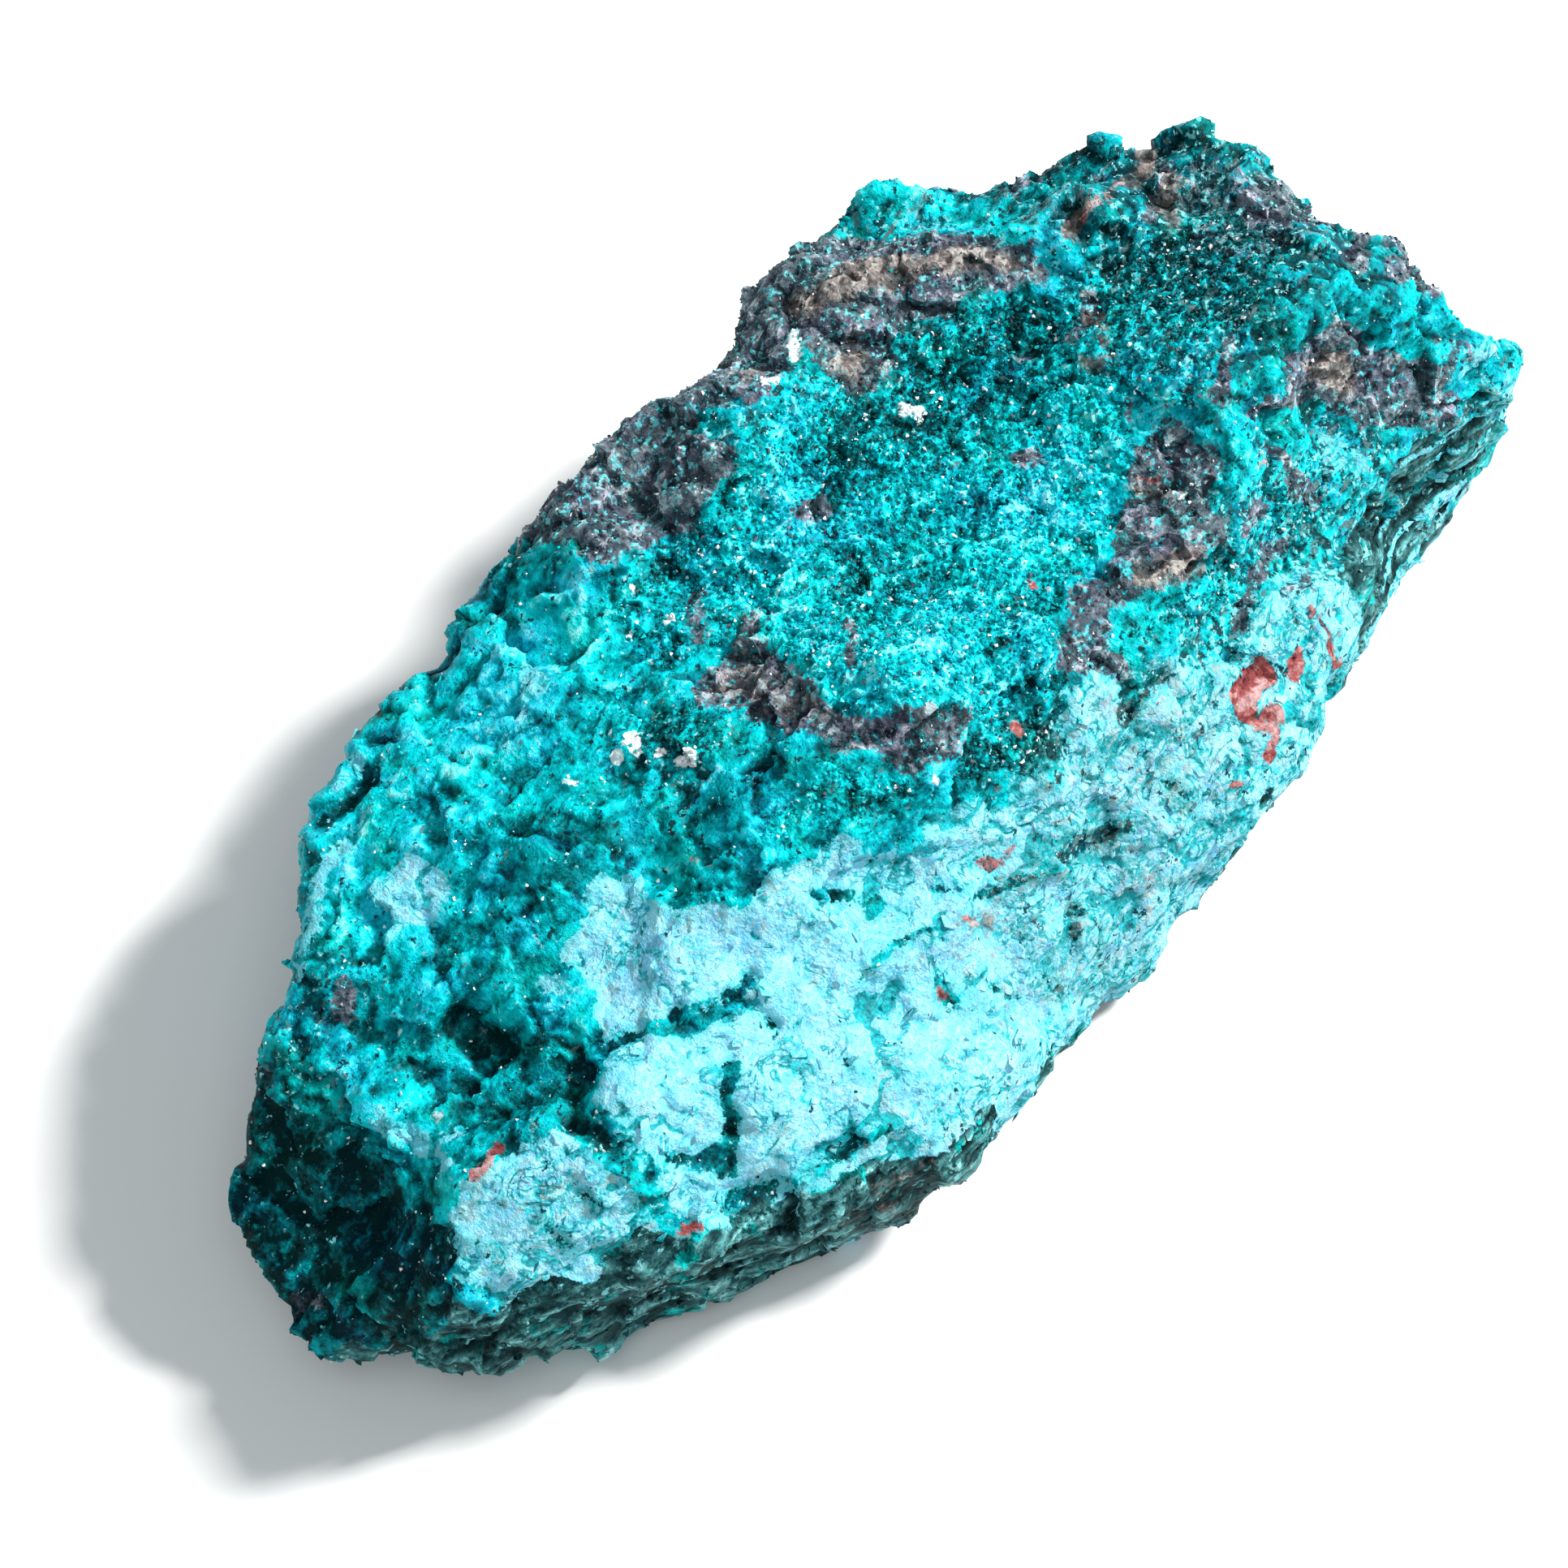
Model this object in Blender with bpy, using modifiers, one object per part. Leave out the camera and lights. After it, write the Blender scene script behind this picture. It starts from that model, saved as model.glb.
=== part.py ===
"""A rough chrysocolla specimen: one broken piece of copper ore, lying on its flattest face.

Metres, +Z up. +X runs along the piece to its broad, broken end, and -Y is its sloping front flank.
The stone is a block bounded by named break faces and a ragged plan outline. Hollows, ridges and
clefts are worked into its top, and chipped facets and lumps into all of it.
"""

import math
from dataclasses import dataclass

import bmesh
import bpy
import numpy as np
from mathutils import noise

MM = 0.001

# Driving dimensions, in millimetres. The finished stone is brought to exactly this box.
LENGTH = 89.0
WIDTH = 42.5
HEIGHT = 23.5

# Every place below is drawn, in millimetres, on a stone of this size.
DRAWN_LENGTH = 92.0
DRAWN_WIDTH = 46.0
DRAWN_HEIGHT = 25.0

CORE_HALF_LENGTH = 30.0
CORE_HEIGHT = 10.0
EDGE_ROUNDING = 1.2
WALL_LEAN = 0.12
WARP = 0.9
REST_CUT = 0.45
CHIP_SIZE = 6.5
CHIP_TILT = 0.09
CHIP_STEP = 0.25
LUMP_SIZE = 5.0
LUMP_HEIGHT = 0.55
SPHERE_LEVEL = 7
SMOOTHING_PASSES = 2
VOXEL = 0.5
TRIANGLES = 9200

# The stone seen from above, anticlockwise from the narrow end's tip.
PLAN_OUTLINE = (
    (-47.6, 4.2), (-43.0, -0.6), (-40.8, -6.6), (-38.0, -9.6), (-33.2, -11.9), (-27.8, -15.6),
    (-22.2, -18.6), (-15.6, -19.8), (-7.5, -18.6), (0.5, -19.8), (5.4, -20.0), (11.4, -22.1),
    (14.6, -19.4), (19.4, -17.7), (24.6, -16.7), (31.4, -14.8), (36.4, -17.1), (40.4, -16.4),
    (42.8, -14.4), (44.4, -11.4), (39.4, -9.8), (39.0, -7.0), (40.0, -4.0), (37.6, -0.9),
    (39.3, 2.6), (40.4, 6.0), (39.6, 9.0), (37.8, 11.8), (35.2, 11.3), (35.2, 13.6),
    (33.2, 15.4), (28.4, 16.2), (25.6, 20.9), (19.0, 22.6), (9.6, 22.6), (3.0, 22.2),
    (-1.0, 25.0), (-4.8, 23.2), (-11.0, 21.8), (-14.6, 21.6), (-19.0, 24.0), (-26.4, 21.4),
    (-29.8, 16.4), (-36.6, 14.0), (-42.8, 11.0), (-45.6, 7.6),
)
OUTLINE_STEPS = 4


@dataclass(frozen=True)
class BreakFace:
    """A flat break: a point on it, the way it faces in plan, and its dip.

    A dip of 0 is level and looks up, 90 is an upright wall, and more than 90 is undercut.
    """

    name: str
    point: tuple
    faces: float
    dip: float

    def outside(self, x, y, z):
        """Distance in front of the face at each place."""
        turn, dip = math.radians(self.faces), math.radians(self.dip)
        along = (x - self.point[0]) * math.cos(turn) + (y - self.point[1]) * math.sin(turn)
        return along * math.sin(dip) + (z - self.point[2]) * math.cos(dip)


@dataclass(frozen=True)
class Ridge:
    """A raised band along a line of plan points. A negative height makes it a cleft."""

    name: str
    line: tuple
    width: float
    height: float

    def rise(self, x, y):
        """What the band adds to the top at each plan point."""
        nearest = np.full(x.shape, np.inf)
        for start, end in zip(self.line, self.line[1:]):
            nearest = np.minimum(nearest, distance_to_segment(x, y, start, end))
        return self.height * np.exp(-((nearest / (0.5 * self.width)) ** 2))


@dataclass(frozen=True)
class Hollow:
    """A dished oval in the top, its long radius turned from the X axis."""

    name: str
    centre: tuple
    radii: tuple
    turn: float
    depth: float

    def rise(self, x, y):
        """What the oval takes from the top at each plan point."""
        turn = math.radians(self.turn)
        off_x, off_y = x - self.centre[0], y - self.centre[1]
        along = (off_x * math.cos(turn) + off_y * math.sin(turn)) / self.radii[0]
        aside = (off_y * math.cos(turn) - off_x * math.sin(turn)) / self.radii[1]
        return -self.depth * np.exp(-((along**2 + aside**2) ** 1.5))


TOP_FACES = (
    BreakFace("plateau", (4.0, 8.0, 21.4), 0.0, 0.0),
    BreakFace("front flank", (0.0, -21.5, 7.6), -90.0, 37.0),
    BreakFace("near flank", (-28.0, -16.5, 7.8), -116.0, 34.0),
    BreakFace("left flank", (-16.0, -3.0, 19.6), 122.0, 12.0),
    BreakFace("near slope", (-10.0, 10.0, 20.4), 174.0, 14.0),
    BreakFace("near shoulder", (-36.5, 8.0, 13.0), 176.0, 32.0),
    BreakFace("near end", (-43.5, 4.0, 8.0), 180.0, 62.0),
    BreakFace("far flank", (30.0, -3.0, 20.4), -78.0, 25.0),
    BreakFace("far corner", (44.0, -12.0, 14.6), -35.0, 34.0),
    BreakFace("back shelf", (28.0, 17.0, 19.3), 55.0, 17.0),
)
WALL_FACES = (
    BreakFace("near left wall", (-40.0, 15.0, 9.0), 132.0, 74.0),
    BreakFace("left wall", (-18.0, 23.2, 10.0), 96.0, 82.0),
    BreakFace("back wall", (16.0, 23.2, 13.0), 84.0, 104.0),
    BreakFace("far back wall", (36.0, 13.0, 12.0), 42.0, 98.0),
    BreakFace("far end", (44.4, -8.0, 11.0), 8.0, 97.0),
    BreakFace("far front wall", (34.0, -17.4, 7.0), -82.0, 108.0),
    BreakFace("front wall", (-4.0, -21.8, 6.0), -92.0, 97.0),
    BreakFace("near front wall", (-28.0, -17.4, 6.0), -116.0, 96.0),
    BreakFace("near tip", (-48.0, 1.0, 4.5), 186.0, 99.0),
)
UNDER_FACES = (
    BreakFace("rest", (0.0, 0.0, 0.0), 0.0, 180.0),
    BreakFace("front undercut", (0.0, -21.5, 3.2), -84.0, 150.0),
    BreakFace("near undercut", (-42.0, 0.0, 2.2), 172.0, 164.0),
    BreakFace("far undercut", (42.0, -6.0, 5.0), -12.0, 155.0),
    BreakFace("far belly", (20.0, 3.0, 0.5), 28.0, 172.0),
    BreakFace("near belly", (-23.0, 2.0, 0.5), 160.0, 171.0),
    BreakFace("back belly", (0.0, 11.0, 0.5), 96.0, 170.0),
    BreakFace("back undercut", (0.0, 21.5, 6.5), 92.0, 140.0),
    BreakFace("near left undercut", (-30.0, 15.0, 4.5), 118.0, 148.0),
)
TOP_FEATURES = (
    Hollow("basin", (13.0, 4.5), (13.0, 8.5), 18.0, 3.2),
    Ridge("back ridge", ((3.5, 16.4), (13.0, 17.2), (20.0, 14.6), (27.0, 10.0)), 6.5, 2.6),
    Ridge("left clump", ((-7.5, 17.4), (1.0, 14.2)), 6.0, 1.4),
    Ridge("clump rim", ((-3.5, 22.0), (2.5, 21.5)), 5.5, 2.2),
    Ridge("basin sill", ((-5.0, 4.0), (-1.5, -1.0), (5.0, -5.6)), 5.5, 1.3),
    Ridge("right ridge", ((12.5, -9.0), (20.0, -8.0), (26.5, -4.0)), 6.5, 2.0),
    Ridge("far block", ((32.0, -4.5), (40.0, -11.0)), 7.5, 2.2),
    Ridge("back knob", ((34.5, 14.0), (31.0, 9.5)), 5.0, 1.2),
    Ridge("far knob", ((37.5, 8.0), (36.0, 3.0)), 6.5, 0.9),
    Ridge("knob cleft", ((36.5, 12.2), (33.4, 9.6), (31.5, 5.6)), 2.2, -0.9),
    Ridge("ridge foot", ((19.0, 20.0), (26.5, 14.4), (31.0, 10.4)), 4.0, -1.6),
    Ridge("crest line", ((-4.0, -2.5), (-16.0, -4.0), (-27.0, -4.0)), 9.0, 1.0),
    Ridge("vein gully", ((-15.0, 3.5), (-23.0, -0.5), (-28.5, -1.5)), 4.0, -1.1),
    Hollow("near pit", (-31.0, 2.0), (4.4, 2.8), 20.0, 1.5),
    Ridge("pale block", ((-36.5, -4.0), (-32.0, -9.0)), 7.0, 1.5),
    Hollow("end hollow", (-42.0, 2.0), (3.2, 3.8), 60.0, 2.2),
    Ridge("lower ledge", ((-42.0, -5.0), (-44.5, 3.0)), 3.5, 1.3),
)


def distance_to_segment(x, y, start, end):
    """Plan distance from each place to the segment between two plan points."""
    run_x, run_y = end[0] - start[0], end[1] - start[1]
    share = ((x - start[0]) * run_x + (y - start[1]) * run_y) / (run_x**2 + run_y**2)
    share = np.clip(share, 0.0, 1.0)
    return np.hypot(x - start[0] - share * run_x, y - start[1] - share * run_y)


def smooth_max(values, radius):
    """The largest of several distances, with the corner between any two rounded."""
    largest = values[0]
    for value in values[1:]:
        blend = np.clip(0.5 + 0.5 * (value - largest) / radius, 0.0, 1.0)
        largest = largest * (1.0 - blend) + value * blend + radius * blend * (1.0 - blend)
    return largest


def outline_curve():
    """The plan outline as a smooth closed curve through its points (Catmull-Rom)."""
    here = np.array(PLAN_OUTLINE)
    before, after, later = np.roll(here, 1, 0), np.roll(here, -1, 0), np.roll(here, -2, 0)
    spans = []
    for step in range(OUTLINE_STEPS):
        t = step / OUTLINE_STEPS
        linear = (after - before) * t
        square = (2.0 * before - 5.0 * here + 4.0 * after - later) * t**2
        cube = (3.0 * here - before - 3.0 * after + later) * t**3
        spans.append(0.5 * (2.0 * here + linear + square + cube))
    return np.stack(spans, axis=1).reshape(-1, 2)


def outline_distance(x, y, curve):
    """Plan distance outside the outline, below zero inside it."""
    nearest = np.full(x.shape, np.inf)
    inside = np.zeros(x.shape, bool)
    for start, end in zip(curve, np.roll(curve, -1, 0)):
        nearest = np.minimum(nearest, distance_to_segment(x, y, start, end))
        if start[1] != end[1]:
            crossing = start[0] + (y - start[1]) * (end[0] - start[0]) / (end[1] - start[1])
            inside ^= ((start[1] > y) != (end[1] > y)) & (x < crossing)
    return np.where(inside, -nearest, nearest)


def outside_rock(places, curve):
    """Roughly how far each place is outside the stone, in millimetres; below zero within it."""
    x, y, z = places.T
    # Gentle waves keep the walls from running straight up and the flanks from lying flat.
    wave_x = x + WARP * np.sin(z / 3.1 + y / 5.3)
    wave_y = y + WARP * np.sin(z / 2.7 + x / 6.1 + 1.3)
    wave_z = z + 0.5 * WARP * np.sin(x / 4.7 + y / 3.9)
    wave = (wave_x, wave_y, wave_z)
    top = smooth_max([face.outside(*wave) for face in TOP_FACES], 2.0 * EDGE_ROUNDING)
    top = top - sum(feature.rise(x, y) for feature in TOP_FEATURES)
    walls = smooth_max([face.outside(*wave) for face in WALL_FACES], EDGE_ROUNDING)
    under = smooth_max([face.outside(*wave) for face in UNDER_FACES], EDGE_ROUNDING)
    # The front is widest low down, at its rim, and the back wall is widest half way up.
    widest = 6.0 + 7.0 * np.clip((y + 6.0) / 18.0, 0.0, 1.0)
    outline = outline_distance(wave_x, wave_y, curve) + WALL_LEAN * np.abs(z - widest)
    return smooth_max([top, walls, outline, under], EDGE_ROUNDING)


def cast_to_surface(directions, curve):
    """Where each direction first leaves the stone, going outwards from the core line."""
    half_box = 0.5 * np.array([DRAWN_LENGTH, DRAWN_WIDTH, DRAWN_HEIGHT])
    core = np.zeros(directions.shape)
    core[:, 0] = directions[:, 0] * CORE_HALF_LENGTH
    core[:, 2] = CORE_HEIGHT
    way = directions * half_box + [0.0, 0.0, half_box[2]] - core
    step = 0.06
    share = np.full(len(way), 1.5)
    for trial in np.arange(1.5, 0.3, -step):
        share = np.where(outside_rock(core + way * trial, curve) > 0.0, trial, share)
    low, high = share - step, share
    for _ in range(8):
        middle = 0.5 * (low + high)
        outside = outside_rock(core + way * middle[:, None], curve) > 0.0
        low, high = np.where(outside, low, middle), np.where(outside, middle, high)
    return core + way * high[:, None]


def broken_grain(place):
    """How far the broken surface stands proud at a place: chipped facets and lumps."""
    chip = noise.voronoi(place / CHIP_SIZE, distance_metric="DISTANCE")[1][0]
    tilt = noise.cell_vector(chip * 7.3)
    facet = CHIP_TILT * tilt.dot(place - chip * CHIP_SIZE) + CHIP_STEP * (noise.cell(chip * 5.1) - 0.5)
    return facet + LUMP_HEIGHT * noise.fractal(place / LUMP_SIZE, 1.0, 2.0, 3)


def soften(bm, passes):
    """Wear the corners down a little."""
    for _ in range(passes):
        bmesh.ops.smooth_vert(
            bm, verts=bm.verts, factor=0.5, use_axis_x=True, use_axis_y=True, use_axis_z=True
        )


def flatten_rest(bm):
    """Cut the resting face flat."""
    for vert in bm.verts:
        vert.co.z = max(vert.co.z, REST_CUT)


def fit_to_size(bm):
    """Bring the stone to its box, with the origin under its middle."""
    places = np.array([vert.co for vert in bm.verts])
    low, high = places.min(axis=0), places.max(axis=0)
    scale = np.array([LENGTH, WIDTH, HEIGHT]) / (high - low)
    middle = np.array([0.5 * (low[0] + high[0]), 0.5 * (low[1] + high[1]), low[2]])
    for vert, place in zip(bm.verts, (places - middle) * scale * MM):
        vert.co = place


def cast_rock():
    """The stone's smooth break faces at their drawn size, as one closed mesh."""
    bm = bmesh.new()
    bmesh.ops.create_icosphere(bm, subdivisions=SPHERE_LEVEL, radius=1.0)
    directions = np.array([vert.co.normalized() for vert in bm.verts])
    for vert, place in zip(bm.verts, cast_to_surface(directions, outline_curve())):
        vert.co = place
    soften(bm, SMOOTHING_PASSES)
    mesh = bpy.data.meshes.new("smooth_stone")
    bm.to_mesh(mesh)
    bm.free()
    return mesh


def modified(mesh, kind, **settings):
    """The mesh after one modifier of this kind, with these settings."""
    blank = bpy.data.objects.new("blank", mesh)
    bpy.context.scene.collection.objects.link(blank)
    modifier = blank.modifiers.new(kind.lower(), kind)
    for name, value in settings.items():
        setattr(modifier, name, value)
    graph = bpy.context.evaluated_depsgraph_get()
    changed = bpy.data.meshes.new_from_object(blank.evaluated_get(graph))
    bpy.data.objects.remove(blank)
    return changed


def roughen(mesh):
    """Give the smooth faces their broken grain, and cut the resting face flat."""
    bm = bmesh.new()
    bm.from_mesh(mesh)
    bm.normal_update()
    grain = [vert.normal * broken_grain(vert.co) for vert in bm.verts]
    for vert, shift in zip(bm.verts, grain):
        vert.co += shift
    soften(bm, 1)
    flatten_rest(bm)
    bm.to_mesh(mesh)
    bm.free()


def make_rock_mesh():
    """The finished stone: evenly faced, roughened, decimated, and brought to its size."""
    mesh = modified(cast_rock(), "REMESH", mode="VOXEL", voxel_size=VOXEL)
    roughen(mesh)
    mesh.calc_loop_triangles()
    mesh = modified(mesh, "DECIMATE", ratio=TRIANGLES / len(mesh.loop_triangles))
    bm = bmesh.new()
    bm.from_mesh(mesh)
    flatten_rest(bm)
    fit_to_size(bm)
    bm.to_mesh(mesh)
    bm.free()
    mesh.name = "chrysocolla_rock"
    return mesh


def make_stone_material():
    """Green-blue copper silicate, matt with a slight glassy gloss."""
    material = bpy.data.materials.new("chrysocolla_stone")
    material.use_nodes = True
    shader = material.node_tree.nodes["Principled BSDF"]
    shader.inputs["Base Color"].default_value = (0.0, 0.32, 0.33, 1.0)
    shader.inputs["Roughness"].default_value = 0.55
    shader.inputs["Metallic"].default_value = 0.0
    return material


def main():
    """Clear the scene and build the specimen in a collection of its own."""
    for stray in list(bpy.data.objects):
        bpy.data.objects.remove(stray)
    collection = bpy.data.collections.new("chrysocolla_specimen")
    bpy.context.scene.collection.children.link(collection)
    rock = bpy.data.objects.new("chrysocolla_rock", make_rock_mesh())
    rock.data.materials.append(make_stone_material())
    collection.objects.link(rock)


main()
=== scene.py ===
"""A rough chrysocolla specimen: one broken slab of copper silicate with crusts, grains and dark matrix.

The slab is one rock. Its fine skin stands for the plain solid, and crops of small crystals grow on the skin.
Lengths in the tables below are millimetres in the plan of the slab: x runs along it towards the far broken
end, y across it towards the back, and z is up from the surface it rests on.
"""

import logging
import math
from dataclasses import dataclass, field
from enum import Enum

import bmesh
import bpy
import numpy as np
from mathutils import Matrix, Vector


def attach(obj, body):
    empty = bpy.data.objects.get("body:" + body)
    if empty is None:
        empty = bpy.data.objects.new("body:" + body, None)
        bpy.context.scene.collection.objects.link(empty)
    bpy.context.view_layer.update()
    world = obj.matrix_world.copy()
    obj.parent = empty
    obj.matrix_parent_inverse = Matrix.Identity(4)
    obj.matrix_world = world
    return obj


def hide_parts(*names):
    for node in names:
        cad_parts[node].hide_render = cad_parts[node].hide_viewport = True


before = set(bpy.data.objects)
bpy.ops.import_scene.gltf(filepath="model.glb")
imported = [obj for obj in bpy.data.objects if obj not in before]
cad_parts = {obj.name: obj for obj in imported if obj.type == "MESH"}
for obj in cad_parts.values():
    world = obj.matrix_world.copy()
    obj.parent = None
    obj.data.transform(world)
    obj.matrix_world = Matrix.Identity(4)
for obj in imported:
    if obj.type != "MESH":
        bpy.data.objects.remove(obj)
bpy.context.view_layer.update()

ROCK_NODE = "chrysocolla_rock"
MM = 0.001
# Where the plan that the tables are drawn on lies in the part's frame, in millimetres.
PLAN_ORIGIN = (0.39, -0.63)
# The way the specimen's best side faces.
SHOW_SIDE = (-0.35, -0.295, 0.89)
HASH_MASK = 0xFFFFFFFF
# How many steps the crust's flakes make over one swell of their noise.
FLAKE_STEPS = 2.6
LOG = logging.getLogger("chrysocolla")

Line = tuple[tuple[float, float], ...]
Row = tuple[float, ...]
Colour = tuple[float, float, float]
# A run of colours: where each one lies from 0 to 1, then its red, green and blue.
Ramp = tuple[tuple[float, float, float, float], ...]


class Tone(Enum):
    """What the skin of the rock is painted with: its finishes, and values that change them."""

    BRIGHT = "bright"
    # deep teal, which also carries painted shade on the near end, the back edge, the walls, the underside and the far
    # end
    DEEP_AND_SHADE = "deep_and_shade"
    DRUSE = "druse"
    PALE = "pale"
    # layered side band; its dark colours also carry painted shade from the overhanging crust
    BAND = "band"
    DARK = "dark"
    BROWN = "brown"
    RUST = "rust"
    # white crystals, and painted highlights where glints show
    WHITE = "white_and_glint"
    MIXED = "mixed"
    CREASE = "crease"
    OPEN = "open"
    # painted shade: how far a vertex sits below the skin about it, which darkens the colour in pits and lightens it
    # on crests
    HOLLOW_SHADE = "hollow_shade"


COVERING = (Tone.PALE, Tone.BAND, Tone.DARK, Tone.BROWN, Tone.RUST, Tone.WHITE)


# ---------------------------------------------------------------- noise


class Grit:
    """Seeded noise over points in millimetres, the same on every run."""

    @staticmethod
    def scatter(cell: np.ndarray, seed: int) -> np.ndarray:
        """Give every lattice cell its own number.

        Args:
            cell: whole-number cells, shape (n, 3).
            seed: picks one set of numbers.

        Returns:
            Numbers from 0 up to 1, shape (n,).
        """
        c = cell.astype(np.int64)
        n = c[:, 0] * 374761393 + c[:, 1] * 668265263 + c[:, 2] * 1274126177 + seed * 974634777
        n &= HASH_MASK
        n = ((n ^ (n >> 13)) * 1103515245) & HASH_MASK
        n = ((n ^ (n >> 15)) * 739982445) & HASH_MASK
        n ^= n >> 16
        return (n & 0xFFFFFF) / float(0x1000000)

    @classmethod
    def swell(cls, points: np.ndarray, size: float, seed: int) -> np.ndarray:
        """Smooth noise.

        Args:
            points: places, shape (n, 3).
            size: width of one swell.
            seed: picks one set of swells.

        Returns:
            Heights from -1 to 1, shape (n,).
        """
        q = points / size + 0.37 * seed
        whole = np.floor(q)
        part = q - whole
        part = part * part * part * (part * (part * 6 - 15) + 10)
        total = np.zeros(len(points))
        for corner in range(8):
            step = np.array([corner & 1, corner >> 1 & 1, corner >> 2 & 1])
            share = np.prod(np.where(step == 1, part, 1 - part), axis=1)
            total += share * cls.scatter(whole + step, seed)
        return total * 2 - 1

    @classmethod
    def rough(cls, points: np.ndarray, size: float, seed: int, octaves: int = 3) -> np.ndarray:
        """Smooth noise with finer noise on it.

        Args:
            points: places, shape (n, 3).
            size: width of the widest swell.
            seed: picks one set of swells.
            octaves: how many finer layers there are, each half as wide.

        Returns:
            Heights of about -1 to 1, shape (n,).
        """
        total = np.zeros(len(points))
        for layer in range(octaves):
            total += cls.swell(points, size / 2**layer, seed + 17 * layer) / 2**layer
        return total / 1.6

    @classmethod
    def chips(cls, points: np.ndarray, size: float, tilt: float, step: float, seed: int) -> np.ndarray:
        """Broken faces: each cell is a small plane with its own slope and level.

        Args:
            points: places, shape (n, 3).
            size: width of one face.
            tilt: rise of a face over its own width, as a share.
            step: height between neighbouring faces.
            seed: picks one set of faces.

        Returns:
            Heights in millimetres, shape (n,).
        """
        q = points / size
        whole = np.floor(q)
        best = np.full(len(points), np.inf)
        height = np.zeros(len(points))
        for n in range(27):
            cell = whole + np.array([n % 3 - 1, n // 3 % 3 - 1, n // 9 - 1])
            centre = cell + np.stack([cls.scatter(cell, seed + k) for k in range(3)], axis=1)
            away = q - centre
            reach = np.einsum("ij,ij->i", away, away)
            slope = np.stack([cls.scatter(cell, seed + 5 + k) for k in range(3)], axis=1) * 2 - 1
            level = np.einsum("ij,ij->i", away, slope) * tilt * size
            level += (cls.scatter(cell, seed + 9) - 0.5) * step
            nearer = reach < best
            best = np.where(nearer, reach, best)
            height = np.where(nearer, level, height)
        return height


def eased(values: np.ndarray, start: float, end: float) -> np.ndarray:
    """Ease values from 0 at start to 1 at end."""
    t = np.clip((values - start) / (end - start), 0, 1)
    return t * t * (3 - 2 * t)


# ---------------------------------------------------------------- drawn features


@dataclass(frozen=True)
class Patch:
    """An area of one finish inside a drawn outline."""

    tone: Tone
    outline: Line
    soft: float = 0.6
    strength: float = 1.0
    over: bool = False

    def weight(self, plan: np.ndarray, fray: np.ndarray) -> np.ndarray:
        """How far each plan point is covered, from 0 to 1, where fray moves the border in millimetres."""
        corners = np.array(self.outline)
        nearest = np.full(len(plan), np.inf)
        inside = np.zeros(len(plan), bool)
        for p, q in zip(corners, np.roll(corners, -1, axis=0)):
            nearest = np.minimum(nearest, distance_to_run(plan, p, q))
            level = (p[1] > plan[:, 1]) != (q[1] > plan[:, 1])
            rise = q[1] - p[1] if q[1] != p[1] else 1.0
            inside ^= level & (plan[:, 0] < (q[0] - p[0]) * (plan[:, 1] - p[1]) / rise + p[0])
        depth = np.where(inside, nearest, -nearest) + fray * (0.4 + 0.5 * self.soft)
        return np.clip(0.5 + depth / (2 * self.soft), 0, 1) * self.strength


@dataclass(frozen=True)
class Vein:
    """A streak of one finish along a drawn line, or a spot where the line is one point."""

    tone: Tone
    line: Line
    width: float
    soft: float = 0.45
    strength: float = 1.0
    over: bool = False

    def weight(self, plan: np.ndarray, fray: np.ndarray) -> np.ndarray:
        """How far each plan point is covered, from 0 to 1, where fray moves the border in millimetres."""
        depth = self.width / 2 - distance_to_line(plan, self.line) + fray * 0.4 * min(self.width, 1.2)
        return np.clip(0.5 + depth / (2 * self.soft), 0, 1) * self.strength


@dataclass(frozen=True)
class Cut:
    """A groove or pit, or a ridge where the depth is negative, along a drawn line."""

    line: Line
    width: float
    depth: float


def distance_to_run(plan: np.ndarray, p: np.ndarray, q: np.ndarray) -> np.ndarray:
    """Distance of plan points from the straight run between two points."""
    run = q - p
    along = np.clip(((plan - p) @ run) / max(float(run @ run), 1e-9), 0, 1)
    gap = plan - p - along[:, None] * run
    return np.hypot(gap[:, 0], gap[:, 1])


def distance_to_line(plan: np.ndarray, line: Line) -> np.ndarray:
    """Distance of plan points from a drawn line."""
    corners = np.array(line, float)
    if len(corners) == 1:
        return distance_to_run(plan, corners[0], corners[0])
    runs = [distance_to_run(plan, p, q) for p, q in zip(corners[:-1], corners[1:])]
    return np.min(runs, axis=0)


def paired(numbers: Row) -> Line:
    """Make points from numbers that are x and y by turns."""
    return tuple(zip(numbers[::2], numbers[1::2]))


def patches(tone: Tone, *rows: Row, over: bool = False) -> tuple[Patch, ...]:
    """Make patches of one finish.

    Args:
        tone: the finish.
        rows: softness and strength, then the outline's x and y by turns.
        over: whether they clear the covers that lie under them.

    Returns:
        One patch for each row.
    """
    return tuple(Patch(tone, paired(row[2:]), *row[:2], over) for row in rows)


def veins(tone: Tone, *rows: Row, over: bool = False) -> tuple[Vein, ...]:
    """Make veins of one finish.

    Args:
        tone: the finish.
        rows: width, softness and strength, then the line's x and y by turns.
        over: whether they clear the covers that lie under them.

    Returns:
        One vein for each row.
    """
    return tuple(Vein(tone, paired(row[3:]), *row[:3], over) for row in rows)


def cuts(*rows: Row) -> tuple[Cut, ...]:
    """Make cuts from rows of width and depth, then the line's x and y by turns."""
    return tuple(Cut(paired(row[2:]), *row[:2]) for row in rows)


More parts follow.
